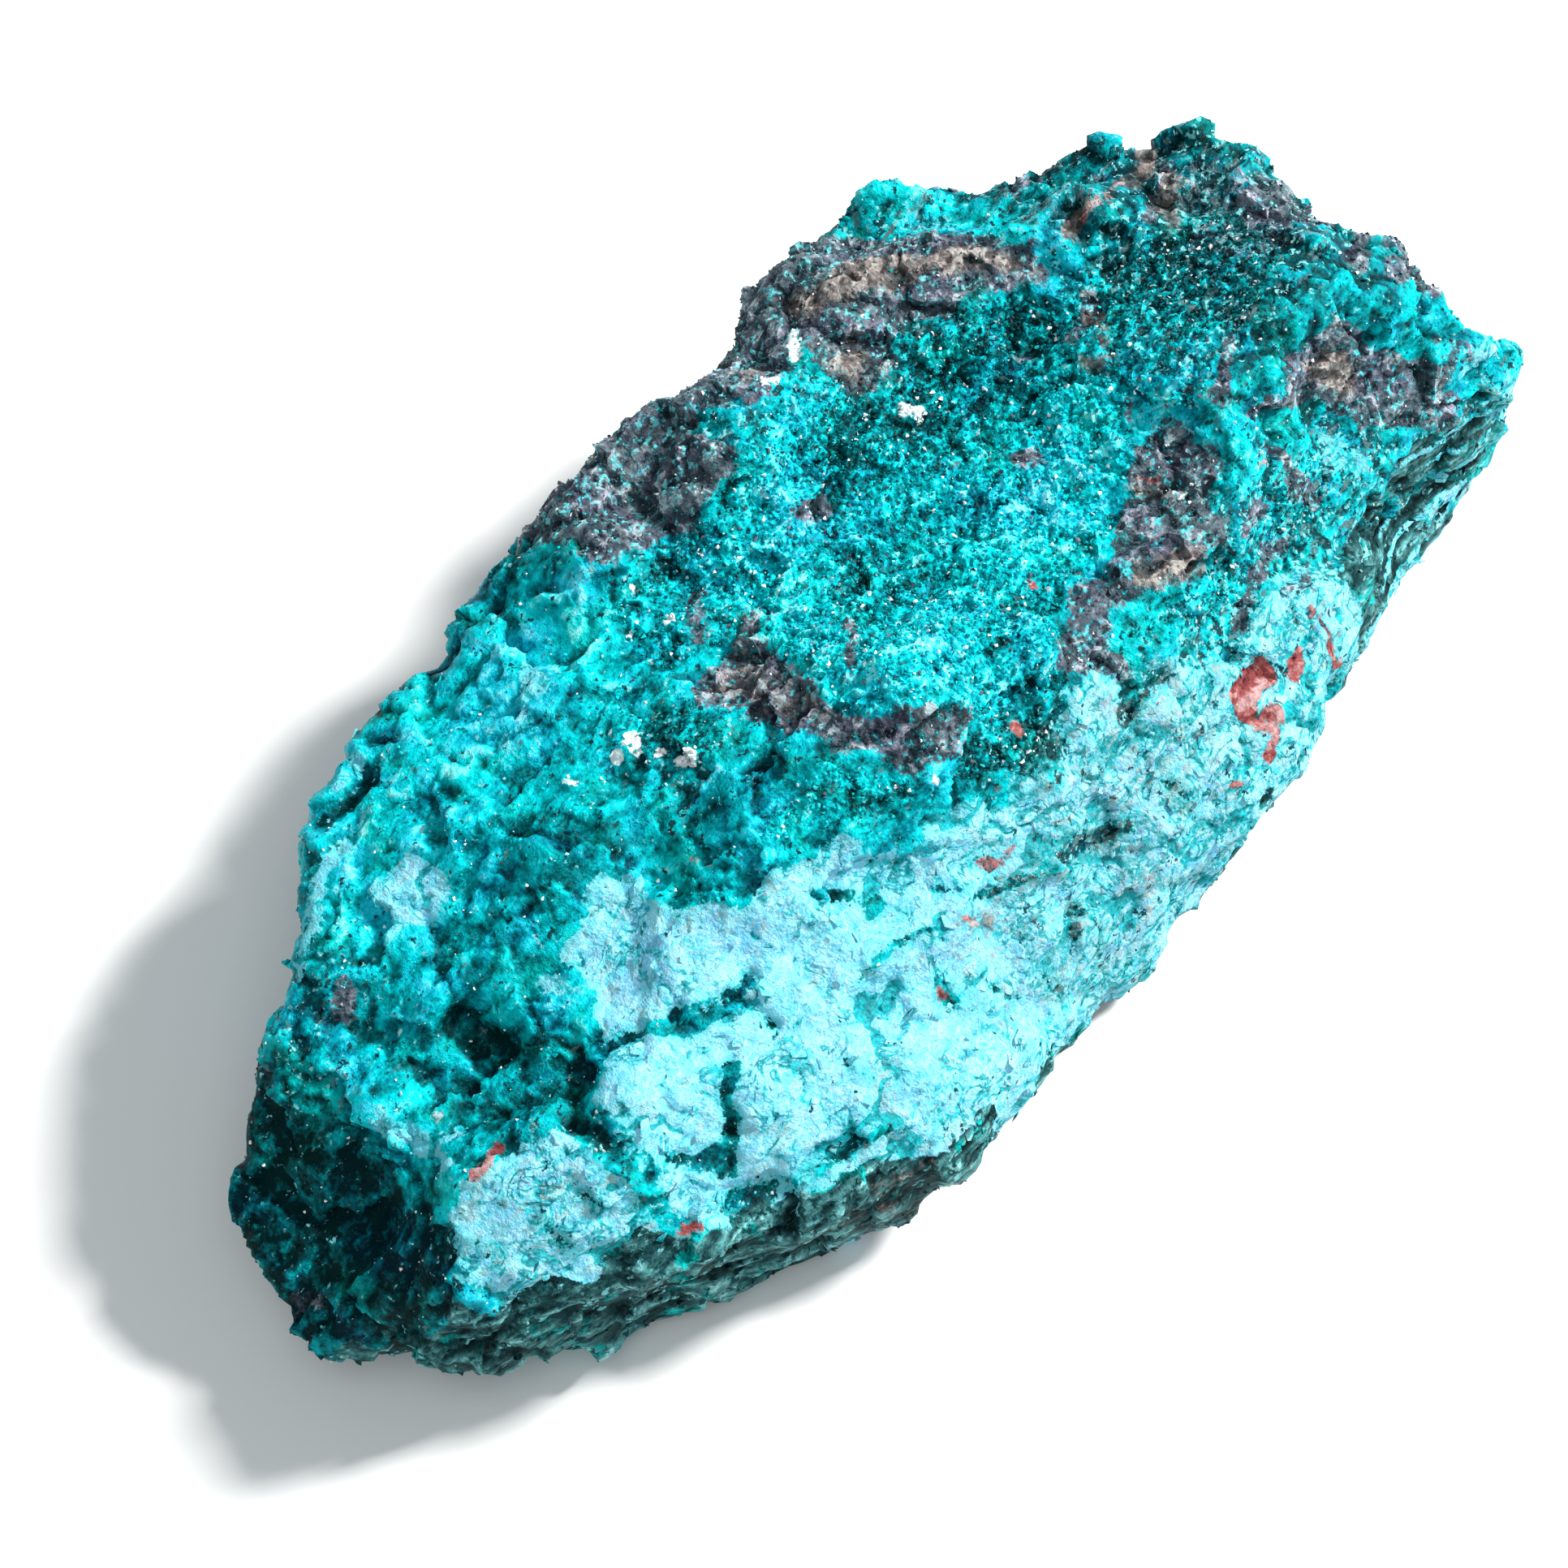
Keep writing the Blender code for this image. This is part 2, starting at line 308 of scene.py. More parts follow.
T = Tone
PAINTED: tuple[Patch | Vein, ...] = (
    # the druse that fills the dished middle and spreads past its rims
    *patches(
        T.DRUSE,
        (1.5, 1, -4.5, 0, -3, 4, -7, 7.5, -7, 11.5, -2, 13, 4, 12, 10, 13, 13, 10, 18, 11, 23, 8, 26, 4, 31, 4, 36, 2,
         37, -3, 30, -4, 24, -5, 20, -4, 15, -6, 10, -6.5, 5, -10, 0, -9, -5, -4.5),
        (1, 0.8, -12, -2, -7, -4, -4, -8, 4, -9, 4, -11.5, -2, -10, -8, -7.5, -12, -5),
        (2, 0.55, -14, 9, -9, 9, -7, 4, -9, 0, -14, 2),
        (1, 0.7, 9, -10, 20, -10, 28, -10, 31, -13, 22, -14, 12, -12.5),
    ),
    # places where crust, teal and matrix are finely mixed
    *patches(
        T.MIXED,
        (2.5, 1, -3, -11, 4, -10, 12, -11.5, 20, -9, 30, -9, 34, -13, 40, -14, 46, -15, 46, -22, 10, -22, -2, -22, -5,
         -17),
        (2, 0.8, 20, -9, 22, -4, 24, 5, 30, 9, 46, 9, 46, -6, 30, -6, 24, -7),
        (1.5, 0.7, -6, 22, -6, 11, 5, 11, 16, 9, 25, 6, 26, 16, 22, 22), (1.5, 0.6, 25, 6, 24, 18, 46, 14, 46, 6),
        (1.5, 0.6, -38, -3, -30, -4, -29, -12, -39, -10), (1.5, 0.5, -37, 4, -30, 8, -28, 12, -38, 12),
        (1.5, 0.6, -28, -12, -10, -18, 0, -22, -30, -22), (2, 0.4, -8, -3, -5, 6, -12, 8, -15, 0),
    ),
    # bright turquoise
    *patches(
        T.BRIGHT,
        (1.6, 0.85, -29, 11, -27, 15, -18, 17, -8, 16, -5, 14, -6, 11.5, -12, 9.5, -20, 11, -25, 9),
        (0.8, 0.9, -4.5, 0, -2.5, 4, -1.5, 7, 2, 10.5, 5.5, 11, 6, 9, 3, 7, 1, 4.5, -1, 2, -2.5, -1, -1.5, -4, 1, -6,
         3, -7.4, 0, -7.2, -2.5, -5, -4, -3),
        (1, 0.7, -1, -2, 3, 0, 7, -2.5, 5, -5, 0, -5),
        (1.2, 0.9, 10, -1, 15, 1, 20, 1, 22, -3, 18, -4.5, 14, -5.5, 10, -4.5), (1, 0.4, 4, 1, 9, 1, 9, -2, 6, -2),
        (0.8, 0.8, 7, 13, 11.5, 13, 11, 11, 7, 11),
        (0.8, 0.3, 23.5, -5, 30, -3.5, 34, -4, 35, -6.5, 31, -6.5, 25, -6.7),
        (1, 1.3, -28.5, 12, -26, 14.2, -22.8, 10, -24.5, 6.8, -27.8, 8.8),
    ),
    *veins(
        T.BRIGHT,
        (1.6, 0.6, 0.8, 21, -3.5, 24, -4, 25, -6, 23.5, -7), (1.6, 0.6, 0.3, 25.8, 6, 27.5, 6.4, 31, 6.5, 34, 6),
        (2.6, 0.8, 0.8, 25.5, 13, 26, 10, 25.5, 7.5), (2.4, 0.8, 0.7, 22, 17, 25, 16, 25, 18),
        (2.2, 0.8, 0.9, -12, -4.2, -11, -4.5), (1.8, 0.8, 0.9, -33, 5.6, -30, 5.6, -28.5, 6),
        (2.6, 0.8, 0.9, -25, 0.5, -24, -1.5), (1.5, 0.8, 0.5, -16, 1, -17, 0.5),
        (1.6, 0.6, 0.7, -34.5, 2.5, -35, 0.5), (2.2, 0.8, 0.4, 38, -11, 39, -13, 42, -14),
    ),
    # deep teal, and painted shade in pits, along the back edge and on the near and far ends
    *patches(
        T.DEEP_AND_SHADE,
        (1.2, 0.65, -26, 3, -24, 5.5, -18, 6.5, -17, 3, -13, 1, -13, 5, -9, 6.5, -10, 2.5, -13, -1, -20, 3),
        (0.8, 0.6, -9, 9.5, -6, 10.5, -5, 8, -9, 7), (0.8, 0.7, -12, -1, -9, 1, -7.6, -2, -8, -3.5, -11, -3),
        (0.6, 0.8, -6.5, -7.3, -4, -8.4, 0, -8, 0.5, -9.6, -3, -9.6, -6, -8.8),
        (0.6, 0.85, 1, -8.5, 4, -8.5, 4.4, -10, 3, -12, 1.5, -11),
        (1, 0.75, 4.5, 6, 6.5, 9.8, 11, 10.2, 15.5, 10.6, 19, 10, 23, 7, 25, 5, 24, 3.5, 20, 2.5, 17, 4.5, 12, 5, 9,
         6.5),
        (1, 0.5, 26, 3, 30, 4, 31, 0, 28, -3, 25, -1), (0.8, 0.45, 0.5, 3.5, 4, 4, 6, 2, 8, -1, 4, -0.5),
        (0.8, 0.85, -31.5, 4.2, -27.2, 4.4, -27, 1, -25.5, -1, -25.5, -3.6, -30, -4.8, -32, -3, -33, 0),
        (0.8, 0.6, -36.5, 11.5, -30, 11, -28.5, 9, -29.5, 7.5, -33.5, 7.6, -37, 9),
        # painted shadow: the near end, painted near black teal
        (0.8, 1.6, -46, -6, -46, 12, -36, 12, -37, 8, -36.3, 6.5, -37.5, 4.5, -36.8, 2, -36.8, -1.5, -37.5, -3.5, -39,
         -6),
        # painted shade: the far end, darkened against the stronger light it takes
        (1.5, 0.95, 25, -7, 26, 2, 27, 9, 29, 18, 46, 18, 46, -14, 38, -10, 30, -7.5),
    ),
    *veins(
        T.DEEP_AND_SHADE,
        (1.8, 0.5, 1, 27.2, 5.1), (1.8, 0.5, 1, 28.7, -9.6), (1.6, 0.8, 0.6, 31, 0.5, 32, -3, 35, -2.5),
        # painted shade along the back edge
        (1, 0.4, 1, -25, 17, -22.8, 16.7, -21.3, 17), (0.7, 0.4, 1, -19.5, 18, -18.8, 17),
        (0.6, 0.4, 0.9, -26, 15.6, -29, 14.4), (1.8, 0.6, 1, -13.5, 18.8, -9.5, 18.6, -7, 19.2, -4, 20),
        (0.8, 0.6, 0.6, -24, 12, -22, 13, -20, 12.6), (1, 0.6, 0.7, -20, 7, -18, 6),
        (1.4, 0.6, 0.6, -5, 11.6, -2, 11.4, 0, 12),
    ),
    # the pale crust on the front flank
    *patches(
        T.PALE,
        (0.6, 1, -28.6, -6.8, -27.8, -5.3, -25.6, -4.6, -25.2, -3, -23.5, -1.5, -22.8, 1, -21, 1.3, -19.6, 2.6, -18.2,
         2.2, -17.5, 0.5, -17.8, -1.2, -17.2, -3, -15.4, -4.8, -13.2, -5.2, -11.6, -6, -10, -6.8, -8.6, -8.2, -6.4,
         -9.2, -4.5, -9.5, -2, -10.2, 0, -11, 1.6, -12.2, 3.4, -11.8, 4.4, -10.6, 6, -10.2, 8, -10.2, 9, -12, 11,
         -12.2, 12.5, -13.8, 16, -14.3, 18, -14, 21, -13.4, 23, -13.6, 24.5, -14.8, 26, -15.5, 24, -18, 19, -20, 14,
         -22, 0, -22, -10, -22, -15, -21, -18, -18.8, -21, -16.8, -24.5, -15.6, -27.5, -14, -28.8, -12.5, -28.8,
         -9.5),
        (0.4, 1, -38, -4.4, -36.6, -3.3, -35.7, -4, -35, -3, -33.5, -3.6, -32, -4, -31.2, -5, -30, -5.1, -29.7, -6.5,
         -29.9, -8.2, -30, -12.5, -32.5, -11.4, -35.2, -10.6, -37.6, -9, -38.2, -6.6),
        (0.6, 0.9, -26.9, 9.4, -26.3, 10.9, -25, 11.2, -23.9, 10.6, -23.2, 9.2, -24, 8.2, -26.4, 8.2),
        (0.9, 0.72, -16.5, 11.5, -14.5, 12.6, -12.6, 13.8, -11, 14.5, -11.4, 12, -14, 10.2),
        (1.5, 0.42, -15, 16, -11, 14, -11, 10, -14.5, 8.4, -18, 10, -18, 14),
        (1.2, 0.42, 22, 18, 26, 17.5, 27, 13, 24, 10.4, 22, 13),
    ),
    *veins(
        T.PALE,
        (0.9, 0.6, 0.75, -32, 12, -30, 12.6, -28, 14, -26, 14.8, -23, 15.1), (1, 0.5, 0.8, -23, 17.9, -21, 18.1),
        (0.7, 0.5, 0.7, -20.6, 16.9, -19.4, 16.6), (1.3, 0.6, 0.75, -35.2, 2.6, -34.6, 0, -34.8, -1.5),
        (0.9, 0.5, 0.8, -33.6, -0.4, -33, -0.9), (1, 0.5, 1, -29.4, 5.4), (1.2, 0.6, 0.7, -24.4, 0.6, -23.9, -0.8),
        (1.8, 0.7, 0.7, 28.4, -11.4, 29.4, -12.4), (0.7, 0.4, 0.8, 25.5, -15.8, 30, -15.2, 35, -15.1, 38, -15.2),
        (1.1, 0.4, 0.9, 26, -16.8, 29, -16.2), (1.1, 0.5, 0.8, 0.8, 16), (0.6, 0.4, 0.9, 8, 16.2, 9, 17.3),
        (1.2, 0.5, 0.9, 16.8, 16.6), (0.8, 0.4, 0.8, 24.6, 4.3), (1, 0.6, 0.6, 35.6, 2.3, 34.6, 1.8),
        (1.3, 0.6, 0.6, 32.5, -1.2),
    ),
    # teal and green veins through the crust
    *veins(
        T.DEEP_AND_SHADE,
        (0.8, 0.35, 0.8, -25.2, -3.9, -23.4, -4.9, -21.8, -6.6, -19.6, -7.4, -17.6, -7.3),
        (0.5, 0.3, 0.7, -21.8, -5.6, -20.2, -6.2, -18.8, -7), (0.35, 0.3, 0.8, -23, -5.2, -21.2, -6.9, -19.8, -7.3),
        (0.4, 0.3, 0.9, -19, -7.6, -18.6, -8.6, -18.2, -9.6), (0.4, 0.3, 0.8, -17.6, -7.8, -17.2, -8.8),
        (0.9, 0.4, 0.9, -27.4, -10, -26.4, -11.2, -24.8, -12, -23.6, -11.2, -23, -10.2, -21.8, -9.4),
        (0.45, 0.3, 0.8, -12.2, -7.2, -10.8, -8.4, -9.6, -9.3), (0.5, 0.3, 0.8, -10.6, -9.5, -9.4, -9.6),
        (0.4, 0.3, 0.8, -13.4, -11.2, -11, -11.3, -9, -12.1, -8, -13),
        (0.45, 0.3, 0.9, -7, -11.2, -5.6, -12.8, -3.4, -13.6, -0.6, -14.4),
        (0.8, 0.35, 0.9, -0.6, -14.5, 1.5, -15, 3.4, -15.4, 4.2, -16), (0.5, 0.3, 0.8, -7.8, -16.2, -6.8, -17.2),
        (0.5, 0.3, 0.8, -17.2, -13.2, -16.6, -14.8), (0.6, 0.35, 0.7, -2.2, -17.2, -1, -16.2, -0.6, -18),
        (0.9, 0.35, 0.5, -5, -17.4, -4.6, -18.4), (0.9, 0.35, 1, -29.2, -5, -29.1, -8.2),
        (0.5, 0.3, 0.7, -28.3, -6, -28, -7.6, -28.2, -10), (0.4, 0.3, 0.6, -31.6, -8, -31.2, -9.4),
        (0.7, 0.35, 0.6, -34, -7, -33.8, -8.8), (0.6, 0.35, 0.5, -37, -4.6, -36.6, -6.6),
        (0.8, 0.4, 0.6, 6.6, -16, 8, -17, 7.8, -18), (0.5, 0.3, 0.7, 7.6, -12.4, 9.4, -11.8, 10.5, -13),
        (0.7, 0.3, 1, 7.4, -12.8, 9, -12.6, 10.8, -13),
        (0.8, 0.35, 0.7, -26.8, -13, -23.4, -14.8, -20.4, -15.8, -17.6, -17),
        over=True,
    ),
    # layered side band under the crust, painted dark also for the shade under its overhang
    *patches(
        T.BAND,
        (0.4, 1, -46, 0, -44.5, 0, -43, -2.5, -41.5, -4.8, -39, -6.3, -37.4, -8, -35, -9.6, -32.6, -10.5, -30.4,
         -11.2, -28.6, -12.8, -26.6, -13.6, -24, -15, -21.5, -16.2, -19.6, -17.3, -17.4, -18.9, -15, -19.7, -10,
         -20.1, 0, -20.3, 8, -19.6, 14, -20.4, 14, -24, -30, -24, -48, -12),
        (0.5, 0.8, 24, -15, 28, -14.2, 33, -14, 38, -14.9, 41, -15.6, 46, -16, 46, -20, 24, -20),
    ),
    *veins(
        T.BAND,
        (1, 0.5, 0.6, 21, -14.5, 25, -13.4, 29, -14),
    ),
    # dark matrix
    *patches(
        T.DARK,
        (0.7, 1, -5.6, 17, -5, 15, -5, 13.4, -3, 12.4, -1.4, 12.8, -0.5, 11.8, 2.5, 11.3, 4.1, 11.5, 4.3, 13, 3.3,
         14.5, 3, 15.3, 4.6, 15.2, 6.2, 14, 7, 12.6, 9, 13, 11.5, 13.3, 11.4, 12.2, 12, 10.8, 12.8, 9.8, 14, 9.5, 15,
         10.4, 16.2, 11.2, 18, 10.9, 20, 9.5, 22, 8.4, 23.6, 7.4, 24.8, 6.8, 25, 8.6, 24, 11.5, 23, 13.6, 22.3, 15.4,
         22, 17, 20.6, 18.4, 19, 20.5, 12, 21, 5, 21, 0, 22, -4, 22, -6, 19),
        (0.7, 1, -7.5, 5.2, -6.5, 5.8, -5, 5.5, -3.5, 5.8, -2, 6.4, -1.7, 5.5, -2.6, 4.7, -3.1, 3.5, -3.8, 2.2, -4.3,
         0.8, -4.5, -1, -4.7, -3, -4.3, -4.2, -3.5, -4.6, -2.3, -5.3, -1.6, -6, -0.8, -6.9, 0.6, -7.2, -0.8, -7.9,
         -2.5, -8.1, -4, -7.8, -4.9, -6.8, -5.4, -5.4, -6.4, -4, -6.8, -2.5, -7, 0, -7.2, 2, -7.7, 4),
        (0.7, 1, 6, -9.9, 6.5, -9, 8, -8.3, 8.4, -7.3, 9.5, -6.5, 11, -6.8, 12.5, -6.9, 14.5, -6.5, 16, -5.6, 17.5,
         -5, 18.3, -4.2, 19.5, -3.8, 21.6, -4, 22, -5, 21.6, -6.4, 21.2, -8, 20, -8.4, 19, -8.7, 18.7, -9.6, 18.2,
         -10.5, 16, -11, 14, -10.4, 12, -9.4, 10.5, -9, 9.5, -9.5, 8, -9.9),
        (0.35, 1, 24, -7.6, 26, -7.7, 28.5, -7.5, 30.5, -7.2, 31.6, -7.3, 32.8, -8.4, 34, -9.5, 35.2, -10.9, 36.8,
         -12.5, 38.2, -13.6, 37.6, -14.3, 35.5, -14.4, 34.5, -13.9, 33.4, -12.9, 32.6, -11.6, 31, -11.4, 30, -10.8,
         29.6, -9.6, 28, -8.9, 26, -8.2),
        (0.6, 0.9, 34.6, 1.6, 37.8, 1, 40, -1, 40, -5, 36.4, -3.2, 35.4, -2, 34.4, 0),
        (1.5, 0.48, 38.6, 5, 39, -2, 33.5, -4.3, 31, -2, 30, 1.6, 31, 4.5, 35, 7),
        (1.5, 0.42, 24, 10, 28, 12, 34, 10, 33, 7, 28.7, 6, 25.5, 6.8),
    ),
    *veins(
        T.DARK,
        (1.2, 0.35, 1, 25.1, -9.9, 25.4, -11, 25.8, -11.6), (0.9, 0.4, 0.75, 20.2, -10.8, 22.6, -11.2),
        (0.9, 0.4, 0.9, 8.2, -10.2, 9, -11.2),
        (0.7, 0.3, 1, 16.9, -13.8, 17.6, -13.2, 19.4, -12.8, 20.8, -12.4, 21.6, -12.2, 23, -12.5),
        (0.4, 0.3, 0.9, 20.4, -14.1, 21.8, -14.5, 22.8, -14.2), (0.9, 0.35, 0.95, 23.6, -6.1, 25, -5.2, 26.2, -4.5),
        (1.1, 0.35, 0.9, 15.4, 1.1, 16, 0.7), (0.7, 0.3, 0.8, 16.3, -2.6), (0.8, 0.35, 0.8, 20.6, -2.3, 21.2, -1.9),
        (1.1, 0.35, 0.95, 22.8, 3.1, 24, 3.6, 24.9, 4), (1.1, 0.4, 0.8, 20.4, 5.2, 21, 4.6),
        (1, 0.4, 0.8, -2.6, -1.2, -1, -0.2, 0.6, 1), (1.4, 0.5, 0.75, 4.2, 7.9, 5.8, 7.2),
        (2.2, 0.7, 0.6, -4.5, 7.5, -3, 8.8), (1.6, 0.6, 0.8, 40.5, -5.5, 39.4, -8.4, 38.8, -10),
        (1.4, 0.4, 0.95, 36, -6.4, 38, -5.2, 39.4, -4.8), (1.6, 0.5, 0.9, 37.4, -8.4, 38.4, -8.2),
        (1.2, 0.5, 0.8, 31, 4.4, 33, 5, 35.6, 6.4), (1.2, 0.5, 0.8, 27, 16, 27.4, 15.4),
        (1.2, 0.5, 0.7, 28.6, 12.2, 30, 12), (1.5, 0.5, 0.8, -31.8, 8.6, -31, 9.2), (0.9, 0.4, 0.7, -32.9, 0.8),
        (0.9, 0.5, 0.7, 37.6, -12, 39, -13.2), (1.2, 0.5, 0.7, -43.8, 2, -43, 0.8),
    ),
    # brown in the matrix
    *patches(
        T.BROWN,
        (0.7, 0.9, 13.6, 17, 13.6, 15, 16, 14, 18, 12.6, 20.5, 11.4, 24.4, 7.6, 23.6, 11, 20.5, 13.4, 18.5, 15, 16,
         16.5, 15, 18),
        (0.8, 0.7, 11.6, 12.4, 12.4, 10.2, 14.6, 10, 14.6, 12.4),
        (0.6, 0.5, -7.4, 5, -5.6, 5.4, -3.4, 5.4, -3.6, 3, -4.6, 1, -4.8, -2.8, -6, -3, -6.6, 0, -7, 3),
        (1.6, 0.37, -10.6, -12.6, -4, -10.6, 4, -10, 12, -11.4, 16, -14, 15, -19, 4, -20, -6, -19.6, -11, -17.4),
    ),
    *veins(
        T.BROWN,
        (1.4, 0.6, 0.7, 8, 14.6, 9, 15), (1.4, 0.6, 0.9, 30, -8.2, 31, -9, 31.6, -9.8),
        (1.5, 0.7, 0.7, 34.8, 5.7, 33, 4.6, 31.6, 3.1), (0.9, 0.4, 0.8, 17.8, -4.8, 18.4, -6),
        (1.6, 0.6, 0.7, 13.4, -9, 16.6, -10.4), (1.3, 0.6, 0.7, -7.2, -13.1, -5.4, -13.9),
        (1.3, 0.6, 0.5, 6, -11.5, 7.6, -12), (1, 0.5, 0.9, 32.6, 7.3, 34.4, 7.2, 36.6, 8.6, 37, 10.6),
        (1.1, 0.5, 0.9, 27.4, 7.4, 28.8, 7.6), (1.2, 0.5, 0.8, 36.2, 11.4, 37.2, 11),
        (0.8, 0.5, 0.5, -20.4, -18.2, -18.4, -19, -17, -19.3), (2, 0.9, 0.45, -9, -16.8, -8.2, -18.2),
        (1.4, 0.8, 0.48, 2.4, -17, 3, -18.6), (0.9, 0.6, 0.4, -22.7, -0.6, -23, -2),
    ),
    # red and orange
    *veins(
        T.RUST,
        (1, 0.3, 1.3, 16.4, -16.2, 15.2, -15.9, 14, -16.2, 13.7, -17.2, 14.3, -18),
        (0.8, 0.3, 0.95, 14.4, -17.4, 15.2, -17.8), (0.7, 0.25, 0.9, 13.2, -18.7, 13.9, -18.5),
        (0.55, 0.3, 0.9, 17.6, -17.2, 18.9, -16.7),
        (0.3, 0.25, 0.85, 20.6, -15.6, 21.3, -16.3, 21.2, -17.1, 20.6, -17.8),
        (0.45, 0.25, 0.9, 10.4, -18.4, 10.9, -18.7), (0.6, 0.25, 1, 1.9, -9.1),
        (0.5, 0.25, 0.9, 9.2, -4.8, 9.4, -4.3), (0.6, 0.3, 0.8, -34.6, -3.4, -33.6, -3.3, -32.6, -3),
        (0.6, 0.3, 0.6, -34.8, -5.3), (0.6, 0.3, 0.8, -29.2, -12.2, -28.4, -12.6),
        (0.7, 0.4, 0.6, -4.3, -11.9, -3.2, -12.6, -2, -12.7),
        over=True,
    ),
    *veins(
        T.RUST,
        (1.8, 1, 0.42, 1.4, -17.4, 3.4, -18.2),
    ),
    *veins(
        T.RUST,
        (1.3, 0.8, 0.46, -10.2, -14.9, -8.6, -16.4), (0.7, 0.4, 0.5, -6.9, -13.2, -6.2, -13.7),
        (0.6, 0.35, 0.7, -10.4, -14.6, -10.1, -15.2), (0.4, 0.3, 0.4, -10.6, -16),
        (0.6, 0.4, 0.5, -15.1, -1.2, -14.9, -2.6, -14.8, -3.8),
        over=True,
    ),
    *veins(
        T.BROWN,
        (0.9, 0.5, 0.8, 24.4, 3.6, 24, 2.2, 23, 0.6, 22, 0.6, 22, 1.6),
    ),
    *veins(
        T.RUST,
        (0.5, 0.4, 0.7, 23.4, 2.6, 23.2, 1.4, 22.3, 0.6), (0.5, 0.3, 0.8, 18.6, -5, 18.8, -5.8),
        (0.4, 0.3, 0.7, 22.6, -9.5, 24, -9.8),
    ),
    *veins(
        T.RUST,
        (0.4, 0.3, 0.6, 9, -15.2), (0.35, 0.25, 0.6, 6.3, -17.5),
        over=True,
    ),
    *veins(
        T.RUST,
        (0.5, 0.3, 0.45, -26, 5.8), (0.7, 0.4, 0.4, -22.4, 1.8), (0.5, 0.4, 0.7, 28.6, 7.2, 30.4, 6.9, 32.4, 7.6),
    ),
    # clear white crystals, painted also where glints show, as painted highlights
    *veins(
        T.WHITE,
        (0.6, 0.25, 1, -13, 5.9), (0.5, 0.25, 1, -12, 5.5, -11.8, 6), (0.5, 0.25, 0.8, -12.2, 7.1),
        (0.7, 0.3, 1, -11, 2.8, -10.9, 2.3), (0.5, 0.3, 0.8, -11.6, 4.2), (0.9, 0.35, 0.8, 8.2, 14.1, 9, 13.6),
        (0.9, 0.35, 0.75, 11.2, 13.6, 12, 14.6), (0.9, 0.35, 0.8, 13.2, 7.7, 13.9, 7.2), (0.7, 0.25, 1, -3.9, -8.5),
        (0.7, 0.25, 0.9, -4.9, 9.4), (0.5, 0.25, 0.9, -6.8, 10.5), (0.5, 0.25, 0.8, -4.7, 12),
        over=True,
    ),
    *veins(
        T.WHITE,
        (0.5, 0.25, 0.8, 18.6, -6.4, 18.8, -7.4),
    ),
    *veins(
        T.WHITE,
        (0.5, 0.25, 0.9, -30.9, 5.8), (0.7, 0.3, 0.7, -29.3, 5.4), (0.5, 0.3, 0.7, -15.8, 7.3, -15.6, 6.8),
        (0.6, 0.3, 0.7, -16, 4.9),
        over=True,
    ),
)

CUTS: tuple[Cut, ...] = cuts(
    (1.9, 1.1, -28.4, 3.2, -28.2, 0.8), (1.3, 0.9, -29.2, -5, -29.1, -8), (1.8, 0.5, -30, -2.5, -27, -4),
    (1.1, 0.45, -25.2, -3.9, -23.4, -4.9, -21.8, -6.4, -19.6, -7.3, -17.6, -7.3),
    (0.7, 0.4, -19, -7.6, -18.6, -8.6, -18.2, -9.6), (1.2, 0.35, -27.4, -10, -24.8, -12, -23.4, -11),
    (1.2, 0.45, -26, -13.3, -23, -14.8, -20, -15.9), (1.3, 0.8, -24.6, 17, -22.8, 16.7, -21.3, 17),
    (0.8, 0.5, -19.4, 18.2, -18.8, 17), (1.6, 0.8, -13.5, 18.8, -9.5, 18.6), (2, 1, 27.2, 5.1),
    (2.2, 0.9, 28.7, -9.6), (0.9, 0.4, 7.4, -12.8, 9, -12.6, 10.8, -13),
    (0.9, 0.35, 17, -13.7, 19.4, -12.8, 21.6, -12.2, 23, -12.5),
    (0.9, -0.25, -4.2, 3, -4.3, 0.5, -4.6, -2.6, -3.6, -4.4), (1.6, 0.5, 3.5, 12, 4.4, 13.4, 4, 15),
    (1, 0.5, -1.2, 12.4, -0.6, 15), (1.4, 0.4, 25.4, 5.4, 24.4, 9, 23, 12), (1.6, -0.25, -12.4, 6.2, -11, 2.6),
    (1.4, 0.5, 5.6, -9.8, 4.2, -10.6, 3.4, -12), (1.4, 0.35, -16.8, -0.5, -16, -3.6),
    (2.2, 0.5, -38, 9, -37.6, 5, -38.2, 1), (1, 0.3, 31.6, -12.9, 36, -14.6),
    (0.8, 0.4, 24.5, -14.6, 30, -14.9, 38, -15.2),
)

# finishes of the hidden underside: tone, squeeze along z, size and seed of the noise, where it starts and
# ends, and strength
UNDERSIDE: tuple[tuple[Tone, float, float, int, float, float, float], ...] = (
    (T.BAND, 2.5, 9, 81, -0.35, 0.2, 1.0),
    (T.DARK, 1.0, 7, 83, 0.1, 0.4, 1.0),
    (T.PALE, 1.0, 6, 89, 0.15, 0.45, 1.0),
    (T.BROWN, 1.0, 4, 97, 0.3, 0.6, 0.7),
)


# ---------------------------------------------------------------- node trees


